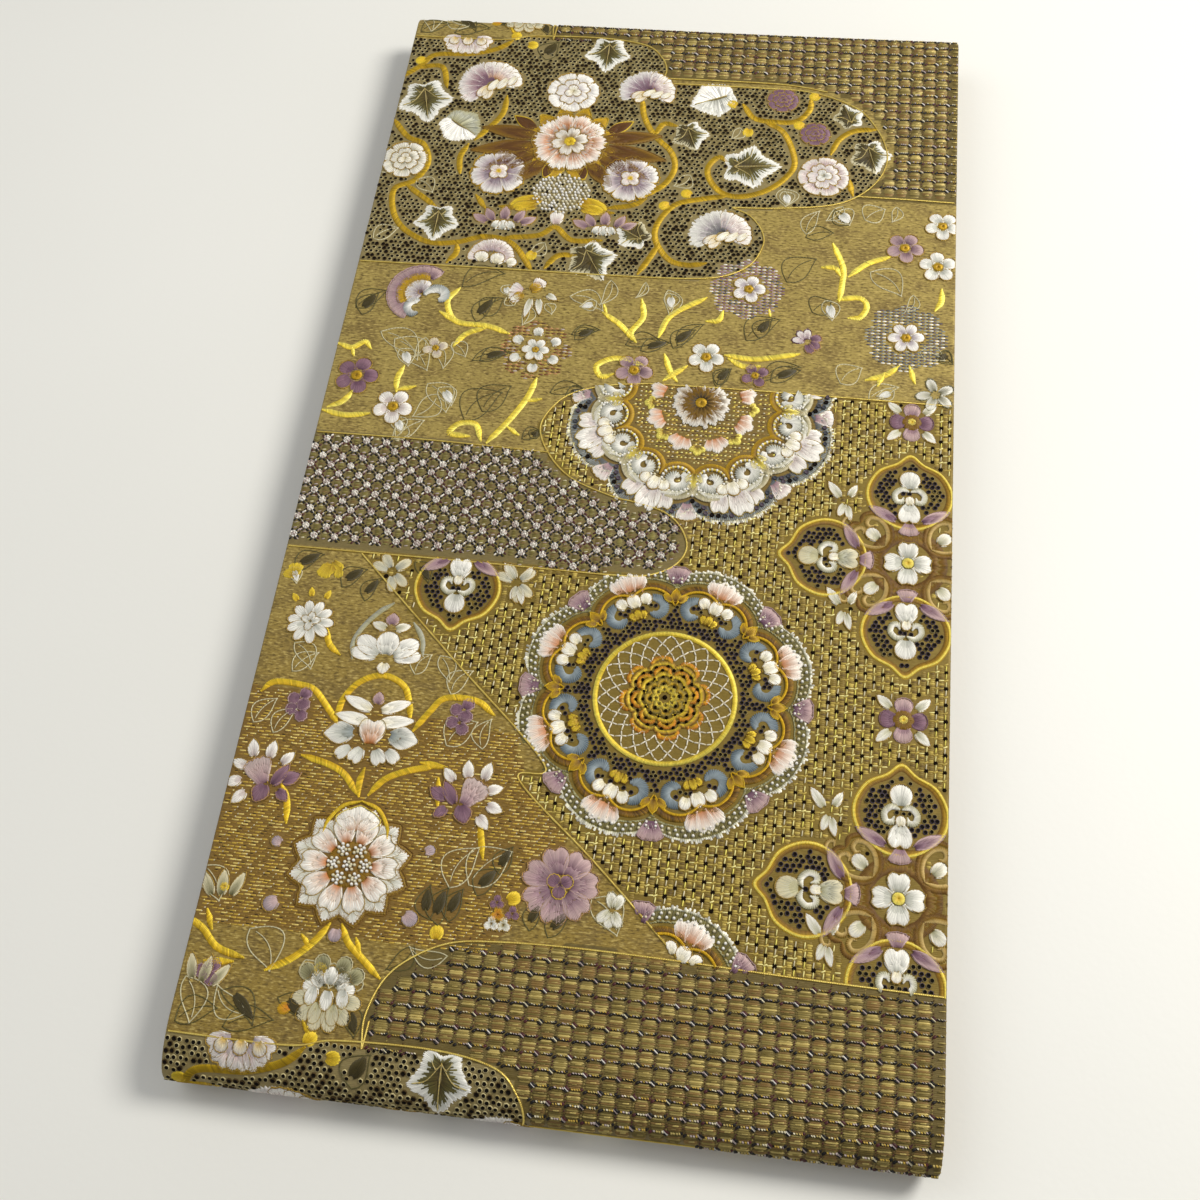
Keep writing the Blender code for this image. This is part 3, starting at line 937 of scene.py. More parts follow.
class OBI_OT_edge_seams(bpy.types.Operator):
    """Sews the face to the back along both long edges with slip stitches"""

    bl_idname = "obi.edge_seams"
    bl_label = "Edge seams"

    MIDDLE_DEPTH = 1.75  # of the seam, under the outside
    PITCH = 4.2
    END_ROOM = 3

    def execute(self, context):
        for side, name in ((-1, "left_seam"), (1, "right_seam")):

            def upright(flat):
                """Stands the stitches up along the edge: their u is the depth under the outside."""
                depth = self.MIDDLE_DEPTH + side * (flat[:, 0] - self.MIDDLE_DEPTH)
                u, v = side * (HALF_WIDTH - 0.12 + flat[:, 2]), flat[:, 1]
                return fold(np.column_stack([u, v, ground_depth(v) - depth]))

            needle = Needle(151, marks=False)
            along = np.arange(CLOTH_FROM + TUCK + self.END_ROOM, CLOTH_TO - TUCK - self.END_ROOM, self.PITCH)
            start = np.stack([np.full(len(along), 1.2), along + needle.rng.uniform(-0.3, 0.3, len(along))], 1)
            needle.lay(start, start + (1.1, 1.3), dyes("line_gold brass"), 0.5, 0.35)
            needle.lay(start + (0.55, 1.7), start + (0.55, 3.6), dyes("line_dim"), 0.4, 0.25)
            sew(name, needle, mapping=upright, repeat=False)
        return {"FINISHED"}


class OBI_OT_cords(bpy.types.Operator):
    """Lays the gold cords that edge the clouds, the bands and the fields"""

    bl_idname = "obi.cords"
    bl_label = "Couched cords"

    PITCH = 1.3
    BREAK = 4  # a longer gap than this is where the cord leaves the cloth

    def execute(self, context):
        radius = context.scene.obi_stitches.cord_width / MM / 2
        vertices, edges = [], []
        for line in CORD_LINES:
            hoop.mark(line, 0.9)
            for shift in (0.0, -REPEAT, REPEAT):
                moved = smooth(line, self.PITCH) + (0, shift)
                u, v = moved.T
                moved = moved[(np.abs(u) < HALF_WIDTH - 0.2) & (v > STITCHED_FROM) & (v < STITCHED_TO)]
                first = len(vertices)
                if len(moved) > 2:
                    vertices += [(x, y, radius * 0.55) for x, y in moved]
                    joined = length(np.diff(moved, axis=0)) <= self.BREAK
                    edges += [(first + k, first + k + 1) for k in np.flatnonzero(joined)]
        mesh = new_mesh("couched_cords", vertices, (), edges)
        write_attribute(mesh, "radius", [radius] * len(vertices))
        obj = new_object("couched_cords", mesh)
        fold_mesh(evaluate(obj, cord_group(), {"Sides": 6, "Finish": gold_cord()}))
        dress(obj)
        return {"FINISHED"}


# ---------------------------------------------------------------- stitched grounds
def grid(du, dv, u_from, v_from, u_to, v_to, stagger=(1, 0.0)):
    """Nodes of a grid, with their column and row numbers. Stagger shifts the rows: how many kinds, and how far."""
    i = np.arange(int(math.floor((u_to - u_from) / du)) + 1)
    j = np.arange(int(math.floor((v_to - v_from) / dv)) + 1)
    columns, rows = (x.ravel() for x in np.meshgrid(i, j))
    kinds, shift = stagger
    return columns, rows, np.stack([u_from + columns * du + (rows % kinds) * shift, v_from + rows * dv], 1)


def tones(rng, words, count):
    """A thread picked at random for each of count stitches, as colours."""
    return dyes(words)[rng.integers(0, len(words.split()), count)]


def scatter_knots(needle, where, pitch, size, rims):
    """French knots packed over a zone wherever the cloth is still bare."""
    rng = needle.rng
    field = (-HALF_WIDTH + 1.2, DESIGN_FROM, HALF_WIDTH - 0.8, DESIGN_FROM + REPEAT)
    place = grid(pitch, pitch * 0.87, *field, stagger=(2, pitch / 2))[2]
    place += rng.uniform(-0.14, 0.14, place.shape) * pitch
    place = place[where(place) & (np.abs(place[:, 0]) < HALF_WIDTH - HEM)]
    place = place[hoop.free(place)]
    n = len(place)
    rim = tones(rng, rims, n) * rng.uniform(0.75, 1.2, (n, 1))
    # The pit colour is painted shade in each knot's pit.
    pit = tones(rng, "knot_pit", n)
    turned = polar(rng.uniform(0, math.pi, n), 1.0) * (size * rng.uniform(0.86, 1.1, (n, 1))) / 2
    needle.add(place - turned, place + turned, rim, pit, size, rng.uniform(0.55, 0.8, n), 0.0, 0.0)


def stroke(needle, place, offset, reach, words, width=0.6, rise=0.45, lift=0.05, gilt=0.0):
    """The same stitch at many places: its middle is offset, and it reaches that far either way."""
    if len(place):
        reach = np.asarray(reach, float)
        tint = tones(needle.rng, words, len(place)) * needle.rng.uniform(0.85, 1.15, (len(place), 1))
        middle = place + np.asarray(offset, float) + needle.rng.uniform(-0.12, 0.12, (len(place), 2))
        needle.add(middle - reach, middle + reach, tint, tint, width, rise, lift, gilt)


def free_nodes(zone, *arrays, room=1.2):
    """Nodes in a zone whose surroundings are still bare. The last array is where they are."""
    place = arrays[-1]
    keep = zone(place)
    for near in ((0, 0), (room, 0), (-room, 0), (0, room), (0, -room)):
        keep &= hoop.free(place + near)
    return [a[keep] for a in arrays]


class OBI_OT_knots(bpy.types.Operator):
    """Packs the clouds with knots"""

    bl_idname = "obi.knots"
    bl_label = "Knots"

    def execute(self, context):
        needle = Needle(11, marks=False)
        scatter_knots(needle, lambda p: inside(CLOUD, p), 2.75, 2.5, "knot_rim knot_rim knot_dim knot_dark")
        sew("cloud_knots", needle, knot_shape, knot_thread())
        return {"FINISHED"}


class OBI_OT_basket(bpy.types.Operator):
    """Stitches both fields of basket filling: padded blocks of gold hatching, with slanting ties between them and dark
    strokes of painted shade in the gaps
    """

    bl_idname = "obi.basket"
    bl_label = "Basket filling"

    DU, DV = 6.7, REPEAT / 92
    FIELDS = (("basket_far", BASKET_TOP, 170, 288, 21), ("basket_near", BASKET_LOW, -279, -220, 22))
    HATCHING = "hatch hatch_dim hatch_warm hatch hatch_warm straw"

    def execute(self, context):
        for name, zone, low, high, seed in self.FIELDS:
            needle = Needle(seed, marks=False)
            columns, rows, nodes = grid(self.DU, self.DV, -HALF_WIDTH - 3.4, -277.6, HALF_WIDTH + 6, 282)
            keep = (nodes[:, 1] < high) & (nodes[:, 1] > low)
            columns, rows, nodes = columns[keep], rows[keep], nodes[keep]

            def bare(p):
                return inside(zone, p) & ~inside(CLOUD, p) & (np.abs(p[:, 0]) < HALF_WIDTH - HEM)

            (blocks,) = free_nodes(bare, nodes + (self.DU / 2, self.DV / 2))
            for k in range(6):
                off = abs(k - 2.5)
                middle, reach = (0, (k - 2.5) * 0.86), (3.15 - off * 0.26, 0.05)
                stroke(needle, blocks, middle, reach, self.HATCHING, 1.02, 0.4, 0.34 - off * 0.12, 0.2)
            stroke(needle, blocks, (0.3, 0.6), (1.5, 0.1), "straw straw hatch", 0.55, 0.4, 0.45, 0.3)
            stroke(needle, blocks[::2], (-0.2, -0.7), (1.2, 0.1), "straw hatch", 0.5, 0.4, 0.4, 0.3)
            columns, rows, nodes = free_nodes(bare, columns, rows, nodes)
            even = (columns + rows) % 2 == 0
            # The dark ties on either side of the pale one, and the dark strokes at the other nodes, are painted shade
            # in the gaps between the padded blocks.
            ties = ((-1, "dark hole hole", 1.0), (0, "snow cream blush", 0.65), (1, "dark hole wine", 1.0))
            for side, words, wide in ties:
                stroke(needle, nodes[even], (side * 0.45, side * 0.5), (1.0, -0.8), words, wide, 0.5, 0.3)
            for side in (-1, 1):
                middle = (side * 0.75, -side * 0.35)
                stroke(needle, nodes[~even], middle, (0.75, 0.55), "dark hole wine dark", 1.2, 0.6, 0.3)
            # The dark dashes along the rows and between the blocks are painted shade in the gaps, mixed with dark
            # threads.
            strong = rows % 2 == 0
            for at in (1.7, 2.7, 3.8, 4.9):
                stroke(needle, nodes[strong], (at, 0.1), (0.55, 0.3), "dark dark hole hole", 0.95, 0.5, 0.2)
                stroke(needle, nodes[~strong], (at, 0), (0.45, 0.2), "dark line_dark hatch_dim", 0.65, 0.4, 0.15)
                bright = "straw blush cream brass"
                stroke(needle, nodes, (at + 0.6, 0.35), (0.5, -0.2), bright, 0.5, 0.6, 0.35)
            for at in (1.4, 2.6, 3.8, 5.0):
                stroke(needle, nodes, (0.1, at), (0.25, 0.4), "wine line_dark hatch hatch_dim", 0.6, 0.4, 0.1)
            sew(name, needle)
        return {"FINISHED"}


class OBI_OT_stars(bpy.types.Operator):
    """Stitches the band of woven wheels, with four pairs of dark ovals about each, painted shade in the openings, and
    padded ovals between
    """

    bl_idname = "obi.stars"
    bl_label = "Star filling"

    def execute(self, context):
        needle = Needle(31, marks=False)
        nodes = grid(5.0, 4.9, -HALF_WIDTH + 2, -60.2, 40, 10)
        columns, rows, nodes = free_nodes(lambda p: inside(STARS, p), *nodes)
        star = (columns + rows) % 2 == 0
        wheel, pads = nodes[star], nodes[~star]
        for k in range(4):
            off = k - 1.5
            stroke(
                needle, pads, (0, off * 0.85), (1.75 - abs(off) * 0.3, 0), "pad pad pad_pale pad_warm", 0.95, 0.5, 0.1
            )
        # The dark ovals round each wheel are painted shade in the openings of the filling.
        for x, y in ((1, -1), (-1, 1), (1, 1), (-1, -1)):
            for side in (-0.6, 0.6):
                middle = (x * 1.65 + side * y, y * 1.65 - side * x)
                stroke(needle, wheel, middle, (x * 0.68, y * 0.68), "dark hole hole wine", 1.25, 0.6, 0.1)
            tip = "blush pad_pale snow"
            stroke(needle, wheel, (x * 2.2, y * 2.2), (x * 0.6, y * 0.6), tip, 0.55, 0.6, 0.3)
        for k in range(4):
            reach = polar(math.pi * (k + 0.25) / 4, 1.3)
            stroke(needle, wheel, (0, 0), reach, "snow blush snow", 0.6, 0.8, 0.3 + 0.05 * k)
        for k in range(6):
            middle, reach = polar(math.pi * (k + 0.5) / 3, 1.4), polar(math.pi * (k / 3 + 0.667), 0.7)
            stroke(needle, wheel, middle, reach, "snow white blush", 0.6, 0.75, 0.45)
        for y in (-1.5, 1.5):
            stroke(needle, pads, (0, y), (1.0, 0.2), "blush pad_pale cream", 0.5, 0.5, 0.3)
        sew("star_filling", needle)
        return {"FINISHED"}


class OBI_OT_mesh(bpy.types.Operator):
    """Stitches the open mesh: bright gold threads both ways, soft pads, and eyelets at every other crossing, painted
    dark as the shade inside them
    """

    bl_idname = "obi.mesh"
    bl_label = "Open mesh"

    DU, DV = 3.9, 3.87

    def execute(self, context):
        needle, eyelets = Needle(41, marks=False), Needle(42, marks=False)
        du, dv = self.DU, self.DV
        columns, rows, nodes = grid(du, dv, -120.0, -231, HALF_WIDTH + 2, 50)

        def clear(p):
            return net_field(p) & (np.abs(p[:, 0]) < HALF_WIDTH - 1.5)

        (cells,) = free_nodes(clear, nodes + (du / 2, dv / 2), room=0.2)
        for k in (-1, 0, 1):
            reach = (1.3 - abs(k) * 0.3, 0)
            stroke(needle, cells, (0, k * 0.95), reach, "loop_pad loop_pad loop_dim net_dim", 1.1, 0.45, 0.1)
        (uprights,) = free_nodes(net_field, nodes + (0, dv / 2), room=0.3)
        (levels,) = free_nodes(net_field, nodes + (du / 2, 0), room=0.3)
        stroke(needle, uprights, (0, 0), (0.12, dv / 2 - 0.5), "net_gold lemon net_gold cream", 0.55, 0.6, 0.25)
        stroke(needle, levels, (0, 0), (du / 2 - 0.6, 0.1), "net_dim net_gold net_dim net_dim", 0.6, 0.45, 0.15)
        columns, rows, nodes = free_nodes(net_field, columns, rows, nodes, room=0.6)
        hole = (columns + rows) % 2 == 0
        stroke(needle, nodes[~hole], (0, 0), (1.0, 0.5), "net_dim net_gold net_dim", 0.65, 0.5, 0.25)
        # The eyelets are dark discs of painted shade, where the mesh opens.
        holes = nodes[hole]
        size = eyelets.rng.uniform(1.9, 2.5, (len(holes), 1))
        tint = tones(eyelets.rng, "hole", len(holes))
        half = (0.5, 0) * size
        eyelets.add(holes - half, holes + half, tint, tint, size[:, 0], 0.15, 0.1, 0.0)
        sew("open_mesh", needle)
        sew("mesh_eyelets", eyelets, bead_shape, dark_hole())
        return {"FINISHED"}


class OBI_OT_couched_lines(bpy.types.Operator):
    """Lays the rows of gold thread, side by side behind the lotuses"""

    bl_idname = "obi.couched_lines"
    bl_label = "Couched lines"

    def execute(self, context):
        needle = Needle(51, marks=False)
        place = grid(2.7, 1.42, -HALF_WIDTH + 1.5, -235, 0, -120, stagger=(3, 0.9))[2]
        place = place[inside(LOTUS_GROUND, place) & ~inside(MESH, place) & hoop.free(place)]
        wave = np.sin(place[:, 0] * 0.35 + place[:, 1]) * 0.12
        place[:, 1] += wave
        gold = "line_gold line_gold line_dim line_pale line_dim"
        stroke(needle, place, (0, 0), (1.45, 0.03), gold, 0.85, 0.45, 0.05, 0.3)
        stroke(needle, place[::2], (1.3, 0), (0.3, 0.25), "net_gold cream line_pale", 0.5, 0.5, 0.2, 0.2)
        stroke(needle, place[1::4], (0.4, 0.7), (0.9, 0.0), "line_dark dark", 0.5, 0.3, 0.0)
        sew("couched_lines", needle)
        return {"FINISHED"}




# ---------------------------------------------------------------- motifs
def petal_rows(text):
    """Rows of numbers from a text. A tilde gives a row its twin across the upright: x, y and aim are mirrored."""
    for row in text.split(","):
        x, y, aim, *size = map(float, row.replace("~", "").split())
        yield x, y, aim, *size
        if "~" in row:
            yield -x, y, 180 - aim, *size


class Spot:
    """A place where a motif is drawn in its own millimetres, turned by degrees and perhaps mirrored."""

    def __init__(self, needle, u, v, turn=0.0, flip=1, size=1.0):
        self.needle, self.place, self.turn = needle, np.array([u, v], float), math.radians(turn)
        self.flip, self.size = flip, size

    def at(self, *points):
        """Places of the motif on the cloth, from two numbers, a text of numbers or an array."""
        p = np.asarray(points[0], float) if np.ndim(points[0]) else pts(*points)
        return spin(p * (self.flip * self.size, self.size), self.turn) + self.place

    def aim(self, degrees):
        angle = math.radians(degrees)
        return (math.pi - angle if self.flip < 0 else angle) + self.turn

    def petals(self, words, rows, rim="round", lift=0.1, step=0.04, **how):
        """Petals one over another. Each row is x, y, aim, length and width, and the rows may be a text."""
        for k, (x, y, aim, long, wide) in enumerate(petal_rows(rows) if isinstance(rows, str) else rows):
            size = (long * self.size, wide * self.size)
            high = lift + step * min(k, 6)
            petal(self.needle, self.at(x, y)[0], self.aim(aim), size, dyes(words), rim, lift=high, **how)

    def burst(self, words, aims, root, long, wide, rim="round", **how):
        """Petals that point away from the middle, each with its root the same way off."""
        roots = [(root * math.cos(math.radians(a)), root * math.sin(math.radians(a))) for a in aims]
        self.petals(words, [(*place, a, long, wide) for place, a in zip(roots, aims)], rim, **how)

    def line(self, points, stops, width, **how):
        self.needle.line(self.at(points), dyes(stops), width=width, **how)

    def ribbon(self, points, width, stops, slant=0.5, **how):
        path = pts(points.replace(",", "")) if isinstance(points, str) else points
        ribbon(
            self.needle, self.at(path), width * self.size, dyes(stops)[:: self.flip], slant=slant * self.flip, **how
        )

    def scroll(self, x, y, radius, start, turns, width, words, ratio=0.5, **how):
        """A ribbon wound into a spiral."""
        t = np.linspace(0, 1, 14)
        points = polar(math.radians(start) + turns * 2 * math.pi * t, radius * (1 - ratio * t)) + (x, y)
        self.ribbon(points, width, words, **{"taper": 3.0, "lift": 0.25, "rise": 0.7, **how})

    def disc(self, radius, stops, lift=0.2, gilt=0.0):
        """Stitches that run out from the middle, all round."""
        count = max(7, int(2 * math.pi * radius * self.size / 0.8))
        ring = polar(np.linspace(0, 2 * math.pi, count, endpoint=False), self.size)
        self.needle.lay(self.place + ring * 0, self.place + ring * radius, dyes(stops), 0.95, 0.5, lift, gilt)


def ring_points(centre, radius, start, stop, steps=40):
    """Points round a centre between two bearings, at one radius or at one that changes."""
    angle = np.radians(np.linspace(start, stop, steps))
    return np.asarray(centre, float) + polar(angle, radius(angle) if callable(radius) else radius)


def fan_peony(spot, fan="plum mauve mauve pink white", crown="peach pink white white"):
    """A peony seen from the side: a frilled fan, a crown of broad petals and three curled ones in front."""
    spot.burst(fan, (214, 190, 166, 142, 118), 2, 18, 12.5, "fan", edge=None, ragged=0.12, lift=0.05)
    spot.burst(crown, (94, 68, 42, 16), 4, 14, 11, "fan", lift=0.25)
    spot.burst("gold cream white", (236, 260), 2, 10, 6, lift=0.3)
    spot.petals("cream white white", "4 3 238 10 5, 9 4.5 238 10 5, 13.5 6 240 8 4.5", lift=0.55)


def ball_peony(spot, radius=14, rim="lilac white white", heart="cream white white"):
    """A full peony seen from above: three rows of curved petals."""
    spot.burst(rim, range(10, 370, 52), radius * 0.38, radius * 0.62, radius * 0.72, "fan", step=0.03)
    spot.burst(rim, range(30, 390, 72), radius * 0.12, radius * 0.52, radius * 0.56, "heart", lift=0.4)
    spot.burst(heart, (95, 215, 335), 0, radius * 0.34, radius * 0.36, lift=0.7)


def flat_flower(needle, u, v, radius, words, count, start):
    """A small flower of separate round petals about a gold heart."""
    spot = needle.at(u, v)
    aims = [start + 360 * k / count for k in range(count)]
    spot.burst(words, aims, radius * 0.27, radius * 0.73, radius * 0.74 * 5 / max(count, 5), neck=0.6)
    spot.disc(radius * 0.25, "bronze gold", lift=0.4, gilt=0.3)


def ivy_leaf(needle, u, v, half, turn, right, left, lobes):
    """A lobed leaf in long and short stitch: dark out from its middle vein, pale from there to a ragged rim."""
    spot = needle.at(u, v, turn)
    bearing = np.linspace(0, math.pi, 80)
    reach = half * (1 - 0.34 * bearing / math.pi) * (1 - lobes * np.abs(np.sin(2.5 * bearing)) ** 1.4)
    for side, (heart, rim_words, share) in ((1, LEAF_DYES[right]), (-1, LEAF_DYES[left])):
        rim = evenly(np.stack([side * reach * np.sin(bearing), reach * np.cos(bearing)], 1), 0.78)
        vein = rim * (0.04, 0.42) - (0, 0.06 * half)
        meet, end = needle.rng.random((2, len(rim), 1)) * [[[0.42]], [[-0.13]]] + [[[share]], [[1.0]]]
        run = rim - vein
        needle.lay(
            spot.at(vein + run * (meet - 0.2)), spot.at(vein + run * end), dyes(rim_words), width=1.0, lift=0.12,
            vary=0.1, longest=9
        )
        needle.lay(spot.at(vein), spot.at(vein + run * meet), dyes(heart), width=0.95, lift=0.24, vary=0.26, longest=9)
    for bearing, share in ((0, 0.8), (72, 0.66), (-72, 0.66), (144, 0.4), (-144, 0.4))[: 5 if lobes > 0.2 else 1]:
        tip = polar(math.radians(90 - bearing), half * share)
        spot.line([(0, -0.3 * half), tip * 0.5, tip], "brass sage", 0.45, lift=0.62)


def outlined_leaf(needle, root, tip, width, words, filled, bend, line=0.55):
    """A leaf drawn with a stem-stitched outline and one vein, perhaps with a slim stitched heart."""
    root, tip = np.array(root, float), np.array(tip, float)
    run = tip - root
    side = np.array([-run[1], run[0]])
    t = np.linspace(0, 1, 9)[:, None]
    spine = root + run * t + side * bend * 4 * t * (1 - t)
    for way in (-1, 1):
        bulge = side / np.hypot(*run) * way * width / 2 * np.sin(math.pi * t**0.8)
        needle.line(spine + bulge, dyes(words), width=line, lift=0.15)
    if filled:
        middle = spine[2]
        aim = math.atan2(*(spine[7] - middle)[::-1])
        petal(needle, middle, aim, (np.hypot(*run) * 0.7, width * 0.5), dyes(filled), "slim", edge=None)
    else:
        needle.line(spine[1:8], dyes(words), width=line * 0.8, lift=0.15)


def dashed_disc(needle, u, v, radius, dark, pale):
    """A scalloped round filled with rows of running stitch."""
    _, rows, place = grid(2.9, 0.98, -radius, -radius, radius, radius, stagger=(2, 1.45))
    keep = length(place) < radius * (0.84 + 0.16 * np.abs(np.cos(bearings(place) * 4)))
    place, rows = place[keep] + (u, v), rows[keep]
    keep = hoop.free(place) & (np.abs(place[:, 0]) < HALF_WIDTH - 1.4)
    place, rows = place[keep], rows[keep]
    stroke(needle, place[rows % 2 == 0], (0, 0), (1.3, 0.0), dark, 1.15, 0.45, 0.05)
    stroke(needle, place[rows % 2 == 1], (0, 0), (1.15, 0.0), pale, 0.8, 0.4, 0.1)


# ---------------------------------------------------------------- vines and leaves
CLOUD_VINES = """
-157 247 -147 257 -140 266 -120 268 -105 273 -97 280, -150 255 -135 257 -129 241, -94 237 -95 222 -107 203,
-155 215 -145 203 -135 198 -130 185 -135 172 -145 165 -143 150 -135 138 -120 130 -105 131 -90 136 -75 132
-62 115, -139 168 -128 160 -120 154, -105 131 -104 124 -108 117, -100 164 -93 155, 75 247 75 238 68 229 55
228 45 230 38 240, 50 228 62 220 69 200 65 188 55 178 42 173 32 175 25 183 23 192 28 200 33 197, 112 226 100
224 92 217 88 206, 98 190 101 178, 35 173 22 170 8 165 0 152 0 140 8 128 18 125 28 127, 2 138 -2 128 -7 117,
-80 136 -62 139 -54 145 -44 137 -28 138, -40 127 -50 126 -56 117, -18 240 -15 226 -8 213 2 202 5 190 0 178
-12 168, -8 213 -4 222 4 221, -110 200 -113 190 -111 178, -28 160 -15 163 -8 168, -86 157 -74 157, -36 157
-24 157
"""
BAND_VINES = """
-98 101 -103 92 -97 80 -85 78, -106 85 -94 79 -80 78 -68 74, -95 64 -90 72 -80 77, -22 91 -12 84 -3 74, -22
96 -20 91, -3 101 -1 90 -6 80 -3 74, 3 60 -6 63 -14 63 -21 58 -18 52 -12 54, 92 145 98 130 98 119 97 108,
101 124 110 133 122 139, 96 109 107 111 111 106 108 99 102 98, 87 129 94 129 97 124, 8 78 13 92 30 105, 42
70 58 69 79 74, 44 68 52 64 60 65, 148 120 148 112 145 106, 31 90 37 91 39 97, -141 33 -145 26 -152 22, -154
20 -142 18 -130 20, -118 50 -120 42 -119 34, -119 35 -110 38, -50 48 -53 36 -60 22 -69 8, -53 34 -46 36, -60
18 -54 14, -72 9 -76 18 -84 18 -88 12 -78 11, -155 61 -147 59 -141 63 -137 59, -147 59 -145 54, 12 68 16 58
20 52, 13 52 24 62, 112 61 122 65 128 71, 118 58 121 66, 133 71 136 61, 62 100 63 96
"""
LOW_VINES = """
-150 -131 -145 -126 -134 -126 -126 -128 -118 -136 -112 -143, -78 -143 -72 -133 -66 -126 -52 -126 -43 -132,
-97 -174 -104 -166 -112 -162 -125 -159, -92 -174 -86 -166 -76 -161 -65 -158, -96 -175 -97 -168 -96 -162,
-131 -173 -127 -180 -125 -190, -42 -180 -40 -188 -38 -196, -97 -230 -102 -238 -110 -246 -120 -252, -92 -230
-88 -237 -82 -242 -72 -250, -158 -234 -150 -238 -142 -245 -130 -248, -127 -97 -124 -105 -118 -110, -113 -141
-112 -131 -106 -122 -96 -118 -86 -122 -82 -130 -80 -138, -108 -236 -103 -241, -85 -235 -82 -241, -150 -230
-146 -238, -146 -251 -134 -250, -100 -270 -96 -275, -63 -163 -61 -176, -72 -157 -60 -158
"""
PALE_VINES = "-112 -111 -113 -103 -110 -95 -104 -87 -98 -82, -87 -91 -82 -98 -80 -107"
SHORT_STEMS = """
5 165 200, 16 172 160, -97 281 60, -88 277 0, -145 262 200, 80 249 200, 43 222 260, 73 226 180, 35 238 150,
-63 128 250, -97 -252 90, -52 -232 90, -25 -213 30
"""


class OBI_OT_vines(bpy.types.Operator):
    """Stitches the gold vines of the cloud, the band and the lotus field"""

    bl_idname = "obi.vines"
    bl_label = "Vines"

    def execute(self, context):
        needle = Needle(61)
        # Each vine runs from a brighter thread on one edge to a darker one on the other: painted shade along one side.
        for paths, width, words in (
            (CLOUD_VINES, 3.9, "vine vine_dim"), (BAND_VINES, 3.6, "lemon yellow"), (LOW_VINES, 3.5, "yellow gold"),
        ):
            for path in paths.split(","):
                ribbon(needle, pts(path), width, dyes(words), gilt=0.3, vary=0.16)
        for path in PALE_VINES.split(","):
            ribbon(needle, pts(path), 2.8, dyes("ash cream sage"))
        for u, v, aim in numbers(SHORT_STEMS):
            needle.at(u, v).petals("gold yellow", [(0, 0, aim, 6.5, 6)], edge=None, gilt=0.12)
        sew("vines", needle)
        return {"FINISHED"}


# u, v, half its length, turn, right side, left side
IVY_LEAVES = """
-140 233 20.5 195 W W, -118 214 16 235 white grey, -41 275 17 180 W W, 24 243 16.5 115 white pale, 11 216
13.5 200 D W, 43 194 20 275 W W, 97 233 11.5 20 W D, 109 208 15 195 D W, -118 146 16 180 W W, -33 126 17.5
210 D W, -11 142 13 60 D W
"""
IVY_LOBES, PLAIN_LOBES = 0.26, 0.12
# The heart, the rim, and where they meet.
LEAF_DYES = {
    "W": ("umber olive", "ash white", 0.36), "D": ("umber moss", "olive cream", 0.58),
    "white": ("white white", "white white", 0.5), "grey": ("sage ash", "ash sage", 0.5),
    "pale": ("ash white", "ash white", 0.4),
}
# Outlined leaves: root, tip and width.
DARK_LEAVES = """
-97 102 -76 112 12, -150 84 -136 96 11, -74 26 -62 42 15, -42 40 -26 44 8, -52 12 -42 16 7, 70 118 84 134
15, 52 80 68 94 13, 84 100 93 108 13, 18 74 30 88 8, -8 72 10 75 9, 78 148 92 152 9, -36 76 -22 80 6, 62 56
80 66 8, -82 84 -74 96 12, -84 56 -64 62 7, 100 158 92 168 8, 40 50 46 62 6, 146 78 154 74 8, -82 20 -66 38
17, -132 284 -112 289 10, -152 284 -136 291 11, -60 -236 -70 -246 8
"""
DARK_FILLED = """
-86 80 -78 96 9, -146 80 -140 94 10, -34 73 -24 79 7, 58 82 64 94 9, 16 72 26 84 9, 0 69 14 75 8, -80 56 -66
62 8, 66 56 80 64 9, 40 52 46 62 8, -48 13 -44 17 6, -34 39 -24 42 6, 152 82 146 76 7, -52 -226 -50 -210 9,
-56 -224 -58 -210 8, -48 -224 -44 -210 8, -38 -212 -30 -200 9, -30 -202 -26 -190 8, -148 -70 -136 -60 9,
-124 -76 -114 -66 9, -112 -82 -106 -70 7, -92 -60 -84 -70 7, -6 -226 2 -214 8, -14 -224 -10 -212 7, -112
-262 -100 -270 8, -136 -262 -120 -274 9, -84 -262 -78 -274 8, -76 266 -70 280 12
"""
PALE_LEAVES = """
-134 70 -112 54 13, -126 66 -106 48 15, -40 100 -22 92 10, -20 112 -24 96 7, -2 112 -6 102 4, 10 108 12 92
9, 64 180 66 168 12, 112 128 128 114 14, 108 162 118 170 13, 124 172 122 162 6, 100 58 110 68 13, 114 50 128
58 8, -98 34 -108 20 12, -112 16 -116 6 8, -104 40 -92 24 13, -114 6 -102 18 10, 78 150 84 166 8, 96 170 88
160 7, 134 115 130 104 6, 138 80 150 76 9, -50 -210 -40 -192 14, -42 -208 -26 -192 17, -130 -236 -118 -252
15, -134 172 -124 164 10, -150 130 -138 138 10, -58 134 -66 126 8, 14 186 6 178 9, -158 180 -148 176 8, 38
222 34 214 7, -82 -116 -76 -106 9, -72 -106 -66 -118 8, -64 -124 -56 -112 9, -150 -146 -142 -134 9, -140
-150 -132 -138 8, -62 -148 -50 -136 13, -46 -148 -44 -134 8, -156 -212 -146 -226 12, -152 -258 -146 -276 11,
-124 -270 -138 -260 10, 10 -208 22 -222 13, -104 -246 -100 -256 9, -92 -246 -92 -256 9, -82 -248 -86 -257 8,
-46 -238 -62 -236 7, -140 -106 -130 -118 9, -138 -120 -128 -110 8, -104 66 -98 50 9, -110 68 -114 56 8, -96
66 -88 58 8, -60 92 -62 80 7, -52 94 -48 88 6, -68 92 -72 98 6
"""
